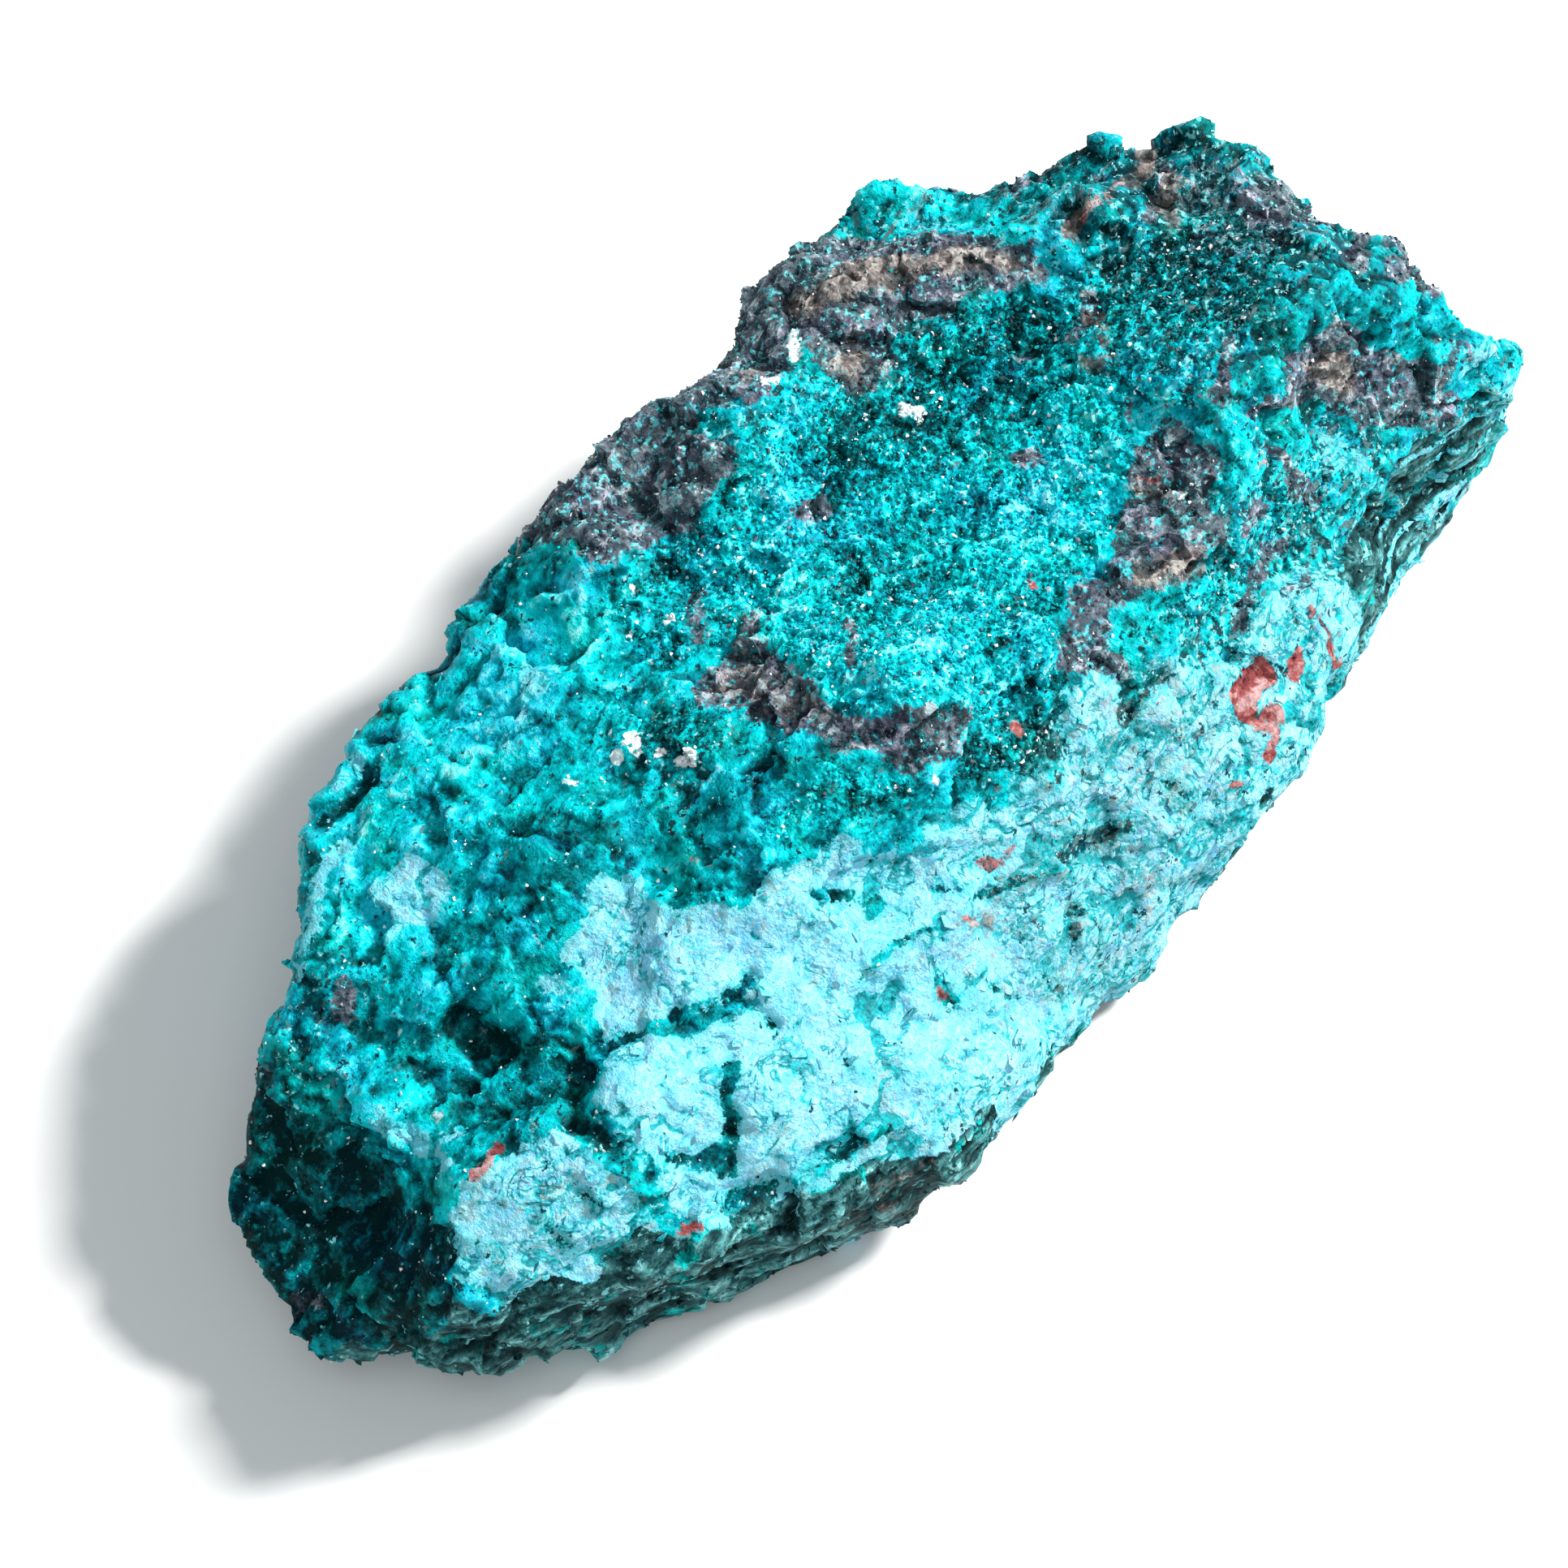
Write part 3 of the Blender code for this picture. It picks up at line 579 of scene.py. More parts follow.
class NodeBoard:
    """A small bench for wiring a material's nodes."""

    def __init__(self, name: str) -> None:
        """Start an empty material.

        Args:
            name: name of the material.
        """
        self.material = bpy.data.materials.new(name)
        self.material.use_nodes = True
        self.tree = self.material.node_tree
        self.tree.nodes.clear()
        self.place = self.put("ShaderNodeTexCoord", {}, "Object")

    def put(self, kind: str, inputs: dict[int | str, object], output: int | str,
            **settings: object) -> bpy.types.NodeSocket:
        """Add a node.

        Args:
            kind: the node's type.
            inputs: what feeds each of its inputs, as another node's output or a plain value.
            output: which output is handed back.
            settings: the node's own properties.

        Returns:
            That output.
        """
        node = self.tree.nodes.new(kind)
        for name, value in settings.items():
            setattr(node, name, value)
        for key, source in inputs.items():
            if isinstance(source, bpy.types.NodeSocket):
                self.tree.links.new(source, node.inputs[key])
            else:
                node.inputs[key].default_value = source
        return node.outputs[output]

    def attribute(self, name: str) -> bpy.types.NodeSocket:
        """The value of a named attribute of the mesh."""
        return self.put("ShaderNodeAttribute", {}, "Fac", attribute_name=name)

    def sums(self, operation: str, a: object, b: object) -> bpy.types.NodeSocket:
        """Work out one step of arithmetic."""
        return self.put("ShaderNodeMath", {0: a, 1: b}, 0, operation=operation)

    def plus(self, base: object, weight: object, value: object) -> bpy.types.NodeSocket:
        """Add a weighted value to another."""
        return self.put("ShaderNodeMath", {0: value, 1: weight, 2: base}, 0, operation="MULTIPLY_ADD")

    def blend(self, *parts: tuple[float, bpy.types.NodeSocket]) -> bpy.types.NodeSocket:
        """Add up weighted noises that each lie about 0.5, and centre the result on 0.

        Args:
            parts: pairs of weight and noise.

        Returns:
            The weighted sum, about 0.
        """
        total: object = 0.0
        for weight, noise in parts:
            total = self.plus(total, weight, self.sums("SUBTRACT", noise, 0.5))
        return total

    def stretched(self, turn: float, stretch: tuple[float, float, float]) -> bpy.types.NodeSocket:
        """Coordinates turned about z and squeezed, for streaky noise."""
        inputs = {"Vector": self.place, "Rotation": (0, 0, math.radians(turn)), "Scale": stretch}
        return self.put("ShaderNodeMapping", inputs, 0)

    def cloud(self, size: float, detail: float = 3, vector: object = None, warp: float = 0.0) -> bpy.types.NodeSocket:
        """Cloudy noise of a given size in millimetres."""
        inputs = {"Vector": vector or self.place, "Scale": 1 / (size * MM), "Detail": detail, "Roughness": 0.6,
                  "Distortion": warp}
        return self.put("ShaderNodeTexNoise", inputs, "Fac")

    def cells(self, size: float) -> bpy.types.NodeSocket:
        """One random number for each cell of a given size in millimetres."""
        colour = self.put("ShaderNodeTexVoronoi", {"Vector": self.place, "Scale": 1 / (size * MM)}, "Color")
        return self.put("ShaderNodeSeparateColor", {0: colour}, 0)

    def edge(self, value: object, low: float, high: float) -> bpy.types.NodeSocket:
        """Ease a value from 0 at low to 1 at high."""
        inputs = {"Value": value, "From Min": low, "From Max": high}
        return self.put("ShaderNodeMapRange", inputs, "Result", interpolation_type="SMOOTHSTEP")

    def ramp(self, value: object, stops: Ramp) -> bpy.types.NodeSocket:
        """Pick a colour along a run of colours."""
        colour = self.put("ShaderNodeValToRGB", {0: value}, 0)
        keys = colour.node.color_ramp.elements
        while len(keys) < len(stops):
            keys.new(0.5)
        for key, (at, *tint) in zip(keys, stops):
            key.position = at
            key.color = (*tint, 1)
        return colour

    def mix(self, share: object, a: object, b: object) -> bpy.types.NodeSocket:
        """Mix two colours, the second of which may be a plain one."""
        b = (*b, 1) if isinstance(b, tuple) else b
        return self.put("ShaderNodeMix", {0: share, 6: a, 7: b}, 2, data_type="RGBA")

    def level(self, share: object, a: object, b: object) -> bpy.types.NodeSocket:
        """Mix two values."""
        return self.put("ShaderNodeMix", {0: share, 2: a, 3: b}, 0, data_type="FLOAT")

    def bump(self, height: object, depth: float) -> bpy.types.NodeSocket:
        """Fine relief of a given depth in millimetres."""
        return self.put("ShaderNodeBump", {"Distance": depth * MM, "Height": height}, 0)

    def surface(self, colour: object, roughness: object, **inputs: object) -> bpy.types.Material:
        """Close the tree with one surface shader.

        Args:
            colour: base colour.
            roughness: roughness.
            inputs: other inputs of the shader, with _ for each space in their names.

        Returns:
            The finished material.
        """
        named = {name.replace("_", " "): source for name, source in inputs.items()}
        shader = self.put("ShaderNodeBsdfPrincipled", {"Base Color": colour, "Roughness": roughness, **named}, 0)
        out = self.tree.nodes.new("ShaderNodeOutputMaterial")
        self.tree.links.new(shader, out.inputs[0])
        return self.material


class Weave:
    """The noises and painted values that the parts of the skin's finish share."""

    def __init__(self, board: NodeBoard) -> None:
        """Lay out the noises.

        Args:
            board: the bench that the material is wired on.
        """
        self.board = board
        self.broad = board.cloud(2.4, 4, warp=0.3)
        self.middle = board.cloud(0.9, 4, warp=0.4)
        self.small = board.cloud(0.28, 3)
        self.streaks = board.cloud(1.1, 5, board.stretched(-24, (0.42, 1.2, 1.0)), 0.6)
        self.grain = board.cloud(1.3, 4, board.stretched(4, (0.45, 1.2, 1.0)), 0.5)
        self.layers = board.cloud(0.9, 4, board.stretched(-14, (0.16, 0.8, 1.7)), 0.25)
        self.mosaic = board.cells(0.27)
        self.clots = board.cells(0.62)
        self.spots = board.cloud(0.6, 4, warp=0.15)
        self.stains = board.cloud(0.9, 4, board.stretched(-24, (0.6, 1.3, 1.0)), 0.2)
        self.crumbs = board.cloud(0.45, 3, warp=0.1)
        self.hue = board.cloud(3.1, 4, warp=0.5)
        self.threads = board.sums("ABSOLUTE", board.blend((1.0, board.cloud(2.1, 4, warp=1.0))), 0.0)
        self.tone = {t: board.attribute(t.value) for t in Tone}
        self.ragged = board.blend((0.75, self.middle), (0.7, self.small))
        self.hollow_shade = self.tone[Tone.HOLLOW_SHADE]
        self.mixed = self.tone[Tone.MIXED]

    def picked(self, which: Tone, sharp: float = 0.07) -> bpy.types.NodeSocket:
        """Where a finish shows, with its ragged border."""
        return self.board.edge(self.board.sums("ADD", self.tone[which], self.ragged), 0.5 - sharp, 0.5 + sharp)


@dataclass(frozen=True)
class StoneFinish:
    """The finish of the rock's skin: teal stone, pale crust, layered sides, dark matrix and rust."""

    teal: Ramp = (
        (0, 0, 0.02, 0.023), (0.2, 0, 0.095, 0.108), (0.42, 0, 0.29, 0.32), (0.62, 0, 0.53, 0.59),
        (0.82, 0, 0.7, 0.77), (1, 0.16, 0.88, 0.92),
    )
    blue: Ramp = (
        (0, 0, 0.018, 0.028), (0.2, 0, 0.09, 0.13), (0.42, 0, 0.28, 0.37), (0.62, 0.004, 0.5, 0.64),
        (0.82, 0.04, 0.68, 0.85), (1, 0.28, 0.84, 0.95),
    )
    green: Ramp = (
        (0, 0, 0.018, 0.017), (0.2, 0, 0.09, 0.088), (0.42, 0, 0.26, 0.25), (0.62, 0, 0.47, 0.46),
        (0.82, 0.01, 0.66, 0.65), (1, 0.3, 0.84, 0.81),
    )
    pale: Ramp = (
        (0, 0, 0.17, 0.2), (0.16, 0.008, 0.36, 0.41), (0.34, 0.09, 0.57, 0.68), (0.55, 0.165, 0.65, 0.84),
        (0.78, 0.25, 0.74, 0.9), (1, 0.4, 0.84, 0.94),
    )
    # painted shade: the band's colours are kept dark for the shade under the crust's overhang as well as their own
    # grey-green
    band: Ramp = (
        (0, 0.003, 0.012, 0.014), (0.3, 0.01, 0.05, 0.055), (0.55, 0.04, 0.14, 0.145), (0.8, 0.1, 0.34, 0.35),
        (1, 0.34, 0.7, 0.69),
    )
    dark: Ramp = (
        (0, 0.01, 0.022, 0.03), (0.35, 0.045, 0.07, 0.09), (0.6, 0.095, 0.125, 0.15), (0.85, 0.19, 0.235, 0.27),
        (1, 0.44, 0.52, 0.56),
    )
    violet: Ramp = (
        (0, 0.016, 0.02, 0.034), (0.35, 0.06, 0.068, 0.098), (0.6, 0.115, 0.122, 0.165), (0.85, 0.22, 0.23, 0.29),
        (1, 0.46, 0.48, 0.58),
    )
    brown: Ramp = (
        (0, 0.02, 0.02, 0.02), (0.4, 0.1, 0.085, 0.08), (0.7, 0.23, 0.18, 0.165), (1, 0.45, 0.4, 0.36),
    )
    rust: Ramp = (
        (0, 0.09, 0.02, 0.024), (0.5, 0.34, 0.085, 0.085), (1, 0.56, 0.36, 0.36),
    )
    # painted highlight: near white for white crystals and for glints
    white_and_glint: Colour = (0.92, 0.96, 0.96)
    sky_cast: Colour = (0.22, 0.60, 0.88)
    tan_cast: Colour = (0.36, 0.56, 0.54)
    mint_cast: Colour = (0.07, 0.56, 0.60)
    milky: Colour = (0.58, 0.89, 0.95)
    fleck_dark: Colour = (0.008, 0.055, 0.065)
    fleck_pale: Colour = (0.20, 0.62, 0.66)
    fleck_grey: Colour = (0.09, 0.18, 0.19)

    def teal_stone(self, w: Weave) -> bpy.types.NodeSocket:
        """Colour of the bare teal stone, from green to blue, with its grains and specks."""
        b = w.board
        grains = b.sums("MULTIPLY", w.tone[Tone.DRUSE], 0.85)
        at = b.blend((0.8, w.broad), (0.9, w.middle), (0.6, w.small), (0.6, w.grain))
        at = b.plus(at, grains, b.blend((0.55, w.mosaic), (0.30, w.clots)))
        # painted shade: darker where the deep teal and its painted shade lie, darker in pits and lighter on crests
        at = b.plus(b.plus(b.plus(at, 0.18, w.tone[Tone.BRIGHT]), -0.28, w.tone[Tone.DEEP_AND_SHADE]), -0.20, w.hollow_shade)
        at = b.sums("ADD", at, 0.50)
        colour = b.ramp(at, self.teal)
        colour = b.mix(b.edge(b.plus(w.hue, 0.05, w.tone[Tone.BRIGHT]), 0.50, 0.64), colour, b.ramp(at, self.blue))
        colour = b.mix(b.edge(w.hue, 0.48, 0.34), colour, b.ramp(at, self.green))
        colour = b.mix(b.edge(b.plus(w.spots, 0.10, w.mixed), 0.62, 0.68), colour, self.fleck_dark)
        colour = b.mix(b.edge(b.plus(w.crumbs, 0.10, w.mixed), 0.65, 0.71), colour, self.fleck_pale)
        return b.mix(b.edge(b.plus(w.stains, 0.10, w.mixed), 0.66, 0.74), colour, self.fleck_grey)

    def pale_crust(self, w: Weave) -> bpy.types.NodeSocket:
        """Colour of the marbled pale crust, with teal in its cracks, and painted shade that darkens it towards teal
        in pits and lightens it on crests.
        """
        b = w.board
        swirl = b.blend((1.1, w.streaks), (0.7, w.broad), (0.7, w.small), (0.5, w.middle))
        at = b.sums("MULTIPLY", swirl, b.plus(1.0, 1.0, w.mixed))
        # painted shade: the crust darkens towards teal in pits and lightens on crests
        at = b.plus(b.plus(b.sums("ADD", at, 0.60), -0.12, w.mixed), -0.13, w.hollow_shade)
        crust = b.ramp(at, self.pale)
        sky = b.edge(b.cloud(2.0, 3, warp=0.8), 0.45, 0.62)
        crust = b.mix(b.sums("MULTIPLY", sky, 0.65), crust, self.sky_cast)
        lines = b.edge(b.sums("ABSOLUTE", b.blend((1.0, b.cloud(1.3, 4, warp=1.2))), 0.0), 0.045, 0.005)
        crust = b.mix(b.sums("MULTIPLY", lines, 0.45), crust, self.milky)
        tan = b.edge(b.plus(w.stains, 0.05, w.mixed), 0.53, 0.66)
        crust = b.mix(b.sums("MULTIPLY", tan, 0.6), crust, self.tan_cast)
        fading = b.edge(w.tone[Tone.PALE], 0.98, 0.55)
        crust = b.mix(b.sums("MULTIPLY", fading, 0.55), crust, self.mint_cast)
        # painted shade: the teal veins spread further into pits
        veins = b.edge(b.plus(b.sums("ADD", w.tone[Tone.CREASE], w.ragged), 0.26, w.hollow_shade), 0.42, 0.58)
        cracks = b.sums("MULTIPLY", b.edge(w.threads, 0.042, 0.014), b.edge(b.plus(w.hue, 0.16, w.mixed), 0.47, 0.57))
        own = b.ramp(b.sums("ADD", b.blend((0.9, w.middle), (0.9, w.small)), 0.47), self.teal)
        crust = b.mix(b.sums("MULTIPLY", b.sums("MAXIMUM", veins, cracks), 0.9), crust, own)
        return b.mix(b.edge(b.plus(w.spots, 0.06, w.mixed), 0.68, 0.72), crust, self.fleck_dark)

    def layered_side(self, w: Weave) -> bpy.types.NodeSocket:
        """Colour of the layered sides under the crust, kept dark also as painted shade under the overhang."""
        b = w.board
        at = b.sums("ADD", b.blend((1.9, w.layers), (0.6, w.small), (0.5, w.broad)), 0.42)
        # painted shade: the side's colour darkens in pits and lightens on crests
        side = b.ramp(b.plus(at, -0.28, w.hollow_shade), self.band)
        side = b.mix(b.edge(w.stains, 0.61, 0.68), side, self.fleck_pale)
        side = b.mix(b.edge(w.broad, 0.57, 0.64), side, b.ramp(b.sums("SUBTRACT", at, 0.1), self.green))
        return b.mix(b.edge(w.spots, 0.55, 0.64), side, self.fleck_dark)

    def material(self) -> bpy.types.Material:
        """Wire the skin's material."""
        b = NodeBoard("chrysocolla_stone_skin")
        w = Weave(b)
        pale = w.picked(Tone.PALE, 0.05)
        colour = b.mix(pale, self.teal_stone(w), self.pale_crust(w))
        band = w.picked(Tone.BAND, 0.05)
        colour = b.mix(band, colour, self.layered_side(w))
        holes = b.edge(b.plus(w.crumbs, 0.03, w.mixed), 0.63, 0.55)
        dark = b.sums("MULTIPLY", w.picked(Tone.DARK), b.plus(0.15, 0.85, holes))
        at = b.blend((0.9, w.middle), (0.55, w.clots), (0.7, w.small), (0.25, w.mosaic))
        # painted shade: the matrix darkens in pits and lightens on crests
        at = b.plus(at, -0.26, w.hollow_shade)
        matrix = b.ramp(b.sums("ADD", at, 0.50), self.dark)
        matrix = b.mix(b.edge(w.hue, 0.46, 0.60), matrix, b.ramp(b.sums("ADD", at, 0.50), self.violet))
        colour = b.mix(dark, colour, matrix)
        brown = b.sums("MULTIPLY", w.picked(Tone.BROWN, 0.2), 0.85)
        colour = b.mix(brown, colour, b.ramp(b.sums("ADD", at, 0.55), self.brown))
        colour = b.mix(w.picked(Tone.RUST, 0.12), colour, b.ramp(b.sums("ADD", at, 0.5), self.rust))
        # painted highlight: white crystals and glints painted into the colour
        white_and_glint = w.picked(Tone.WHITE)
        colour = b.mix(b.sums("MULTIPLY", white_and_glint, 0.75), colour, self.white_and_glint)
        rough = b.sums("ADD", b.blend((0.7, w.small), (0.4, w.middle)), 0.42)
        rough = b.level(pale, rough, 0.72)
        rough = b.level(dark, rough, b.sums("ADD", b.blend((0.6, w.mosaic)), 0.42))
        rough = b.level(white_and_glint, rough, 0.22)
        relief = b.blend((0.8, w.small), (0.9, w.middle))
        relief = b.plus(relief, b.plus(0.25, 0.85, w.tone[Tone.DRUSE]), b.blend((0.5, w.mosaic)))
        relief = b.plus(relief, band, b.blend((1.6, w.layers)))
        relief = b.plus(relief, pale, b.blend((0.7, w.streaks)))
        return b.surface(colour, b.sums("MAXIMUM", rough, 0.12), Normal=b.bump(relief, 0.2),
                         Specular_IOR_Level=0.04)


@dataclass(frozen=True)
class CrystalFinish:
    """The finish of the small crystals, which take their tone from the stone under them."""

    teal: Ramp = StoneFinish.teal
    dark: Ramp = StoneFinish.dark
    # painted highlight: the clear grains are near white, for white crystals and for glints
    clear: Colour = (0.96, 0.99, 1.0)

    def material(self) -> bpy.types.Material:
        """Wire the crystals' material."""
        b = NodeBoard("chrysocolla_crystal")
        own = b.attribute("grain_tone")
        murk = b.blend((0.5, b.cloud(0.2, 2)))
        colour = b.ramp(b.sums("ADD", own, murk), self.teal)
        colour = b.mix(b.attribute("grain_dark"), colour, b.ramp(b.sums("ADD", own, murk), self.dark))
        # painted highlight: clear grains turn near white, standing in for glints as well
        colour = b.mix(b.attribute("grain_clear_glint"), colour, self.clear)
        rough = b.sums("ADD", b.blend((0.5, b.cloud(0.25, 2))), 0.24)
        return b.surface(colour, b.sums("MAXIMUM", rough, 0.08), Specular_IOR_Level=0.25)


# ---------------------------------------------------------------- the rock


@dataclass
class Skin:
    """The fine skin as plain arrays, in millimetres, for the crops that grow on it."""

    points: np.ndarray
    normals: np.ndarray
    faces: np.ndarray
    tones: dict[Tone, np.ndarray] = field(default_factory=dict)
    teal: np.ndarray = field(default_factory=lambda: np.zeros(0))


@dataclass
class RockBody:
    """The slab itself, from the plain solid to its dressed skin."""

    voxel: float = 0.545
    softening: int = 2
    fine_above: float = 3.0
    fine_slope: float = 0.12
    lump: float = 0.45
    chip: float = 0.26
    pit: float = 0.12
    flake: float = 0.16
    layer: float = 0.35
    rib: float = 0.20
    grain: float = 0.10
    crease: float = 0.12
    drift: float = 0.3
    wall_drift: float = 1.8
    lee_drift: float = 7.0
    fray: float = 1.1
    hollow_shade_reach: int = 14
    hollow_shade_depth: float = 0.09

    def build(self) -> tuple[bpy.types.Object, Skin]:
        """Make the skin's mesh and its tones.

        Returns:
            The rock's object, and its arrays for the crops.
        """
        rock = self.remeshed()
        self.refine(rock.data)
        skin = self.read(rock.data)
        self.paint(skin)
        height = self.relief(skin)
        # painted shade: how far each vertex lies in a dip, kept for the finish to darken pits and lighten crests
        skin.tones[Tone.HOLLOW_SHADE] = self.hollow_shading(rock.data, height)
        skin.points += skin.normals * height[:, None]
        skin.points[:, 2] = np.maximum(skin.points[:, 2], 0)
        rock.data.vertices.foreach_set("co", (skin.points * MM).astype(np.float32).ravel())
        rock.data.update()
        skin.normals = self.normals_of(rock.data)
        self.store(rock.data, skin)
        return rock, skin

    def remeshed(self) -> bpy.types.Object:
        """Copy the plain solid and give it an even mesh."""
        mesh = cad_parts[ROCK_NODE].data.copy()
        shape = bmesh.new()
        shape.from_mesh(mesh)
        bmesh.ops.remove_doubles(shape, verts=shape.verts, dist=1e-6)
        shape.to_mesh(mesh)
        shape.free()
        start = bpy.data.objects.new("skin_start", mesh)
        bpy.context.scene.collection.objects.link(start)
        even = start.modifiers.new("even", "REMESH")
        even.mode = "VOXEL"
        even.voxel_size = self.voxel * MM
        soft = start.modifiers.new("soft", "SMOOTH")
        soft.factor = 0.5
        soft.iterations = self.softening
        ready = start.evaluated_get(bpy.context.evaluated_depsgraph_get())
        fine = bpy.data.meshes.new_from_object(ready)
        fine.name = "chrysocolla_skin"
        bpy.data.objects.remove(start)
        rock = bpy.data.objects.new("chrysocolla_skin", fine)
        bpy.context.scene.collection.objects.link(rock)
        return rock

    def refine(self, mesh: bpy.types.Mesh) -> None:
        """Halve the faces that look up or sideways, and cut all faces into triangles."""
        shape = bmesh.new()
        shape.from_mesh(mesh)
        shape.normal_update()
        fine = [f for f in shape.faces
                if f.normal.z > self.fine_slope and f.calc_center_median().z > self.fine_above * MM]
        edges = list({e for f in fine for e in f.edges})
        bmesh.ops.subdivide_edges(shape, edges=edges, cuts=1, use_grid_fill=True)
        bmesh.ops.triangulate(shape, faces=shape.faces)
        shape.to_mesh(mesh)
        shape.free()

    @staticmethod
    def normals_of(mesh: bpy.types.Mesh) -> np.ndarray:
        """The normals of a mesh's vertices."""
        flat = np.zeros(len(mesh.vertices) * 3, np.float32)
        mesh.vertex_normals.foreach_get("vector", flat)
        return flat.reshape(-1, 3).astype(float)

    def read(self, mesh: bpy.types.Mesh) -> Skin:
        """Read a mesh into arrays."""
        flat = np.zeros(len(mesh.vertices) * 3, np.float32)
        mesh.vertices.foreach_get("co", flat)
        faces = np.zeros(len(mesh.polygons) * 3, np.int32)
        mesh.polygons.foreach_get("vertices", faces)
        return Skin(flat.reshape(-1, 3).astype(float) / MM, self.normals_of(mesh), faces.reshape(-1, 3))

    @staticmethod
    def ribs(points: np.ndarray, normals: np.ndarray) -> np.ndarray:
        """Level ribs of pale layers on the broken wall at the far end of the front flank, from 0 to 1."""
        layer = eased(Grit.rough(points * [0.10, 0.10, 1.0], 1.3, 163, 3), -0.10, 0.15)
        wall = eased(normals[:, 2], 0.92, 0.72) * eased(points[:, 0], 22, 27) * eased(points[:, 1], -13.2, -14.6)
        return layer * wall

    def paint(self, skin: Skin) -> None:
        """Work out how much of each finish every vertex takes.

        Args:
            skin: the skin's arrays, whose tones are filled in.
        """
        p = skin.points
        up = skin.normals[:, 2]
        wall = eased(up, 0.55, 0.1)
        drift = np.stack([Grit.rough(p, 1.6, 31), Grit.rough(p, 1.6, 47)], axis=1)
        wide = np.stack([Grit.rough(p, 3.4, 61), Grit.rough(p, 3.4, 73)], axis=1)
        plan = p[:, :2] - PLAN_ORIGIN + drift * self.drift + wide * (wall * self.wall_drift)[:, None]
        lee = eased(skin.normals @ np.array(SHOW_SIDE), 0.02, -0.3)
        swing = np.stack([Grit.rough(p, 9.0, 167, 2), Grit.rough(p, 9.0, 173, 2)], axis=1)
        plan += swing * (lee * self.lee_drift)[:, None]
        fray = self.fray * Grit.rough(p, 1.7, 37, 4)
        shown = eased(up, -0.45, -0.1)
        tones = {t: np.zeros(len(p)) for t in Tone}
        for feature in PAINTED:
            weight = feature.weight(plan, fray) * shown
            if feature.over:
                for cover in COVERING:
                    tones[cover] *= 1 - weight
            tones[feature.tone] = np.maximum(tones[feature.tone], weight)
        hidden = 1 - shown
        side = hidden + wall * np.where(p[:, 1] > 8, 1.0, 0.5)
        for tone, squeeze, size, seed, low, high, strength in UNDERSIDE:
            here = hidden * eased(Grit.rough(p * (1, 1, squeeze), size, seed), low, high) * strength
            tones[tone] = np.maximum(tones[tone], here)
        # painted shade: the walls and the underside are darkened, the back walls twice as much
        tones[Tone.DEEP_AND_SHADE] = np.maximum(tones[Tone.DEEP_AND_SHADE], side * eased(Grit.rough(p, 5, 101), -0.3, 0.3) * 0.9)
        ribs = self.ribs(p, skin.normals)
        tones[Tone.BAND] *= 1 - ribs
        tones[Tone.PALE] = np.maximum(tones[Tone.PALE], 0.95 * ribs)
        bare = 1 - np.clip(np.max([tones[cover] for cover in COVERING], axis=0), 0, 1)
        tones[Tone.DRUSE] *= 0.2 + 0.8 * bare
        tones[Tone.OPEN] = bare * (1 - 0.8 * tones[Tone.DRUSE])
        skin.tones = tones
        flow = np.stack([p[:, 0] * 0.55 - p[:, 1] * 0.25, p[:, 0] * 0.4 + p[:, 1] * 0.9, p[:, 2]], axis=1)
        line = np.abs(Grit.rough(flow + drift[:, :1] * 0.5, 3.0, 151, 3))
        some = eased(Grit.rough(p, 4.5, 157, 2) + 0.25 * tones[Tone.MIXED], -0.15, 0.25)
        tones[Tone.CREASE] = np.exp(-((line / 0.065) ** 2)) * some
        # painted shade: the grains darken where the deep teal and its painted shade lie
        skin.teal = (0.49 + 0.20 * tones[Tone.BRIGHT] - 0.30 * tones[Tone.DEEP_AND_SHADE] + 0.18 * Grit.rough(p, 1.8, 107))

    def relief(self, skin: Skin) -> np.ndarray:
        """How far every vertex moves out along its normal.

        Args:
            skin: the skin's arrays with their tones.

        Returns:
            Heights in millimetres, shape (n,).
        """
        p = skin.points
        t = skin.tones
        warped = p + 0.5 * np.stack([Grit.rough(p, 1.3, s) for s in (11, 13, 19)], axis=1)
        druse, pale, band, dark = t[Tone.DRUSE], t[Tone.PALE], t[Tone.BAND], t[Tone.DARK]
        height = self.lump * Grit.rough(p, 6.0, 3, 2) * (1 - 0.3 * pale)
        height += Grit.chips(warped, 3.4, self.chip, 0.32, 5) * (1 - 0.5 * druse - 0.65 * pale)
        height += Grit.chips(warped, 1.5, self.chip * 0.6, 0.10, 23) * (1 - 0.5 * pale - 0.3 * band)
        height += Grit.chips(warped, 0.75, self.chip * 0.5, 0.04, 41) * (0.4 + 1.2 * druse + 0.5 * dark - 0.3 * pale)
        height -= self.pit * eased(Grit.rough(p, 0.9, 139), 0.42, 0.70) * (1 - 0.7 * pale)
        turned = np.stack([p[:, 0] * 0.91 - p[:, 1] * 0.41, p[:, 0] * 0.41 + p[:, 1] * 0.91, p[:, 2]], axis=1)
        flakes = Grit.rough(turned * [0.5, 1.3, 1.0], 1.7, 127, 3)
        height += pale * self.flake * (np.floor(flakes * FLAKE_STEPS) / FLAKE_STEPS + 0.8 * flakes)
        height += band * self.layer * Grit.rough(turned * [0.16, 0.7, 2.2], 1.2, 131, 2)
        height += self.rib * self.ribs(p, skin.normals)
        height += druse * self.grain * Grit.swell(p, 0.55, 137)
        height -= t[Tone.CREASE] * (self.crease + self.crease * pale)
        facing = eased(skin.normals[:, 2], -0.1, 0.3)
        for cut in CUTS:
            reach = distance_to_line(p[:, :2] - PLAN_ORIGIN, cut.line) / (cut.width / 2)
            height -= cut.depth * np.exp(-reach**2) * facing
        return height * eased(p[:, 2], 0.05, 1.5)

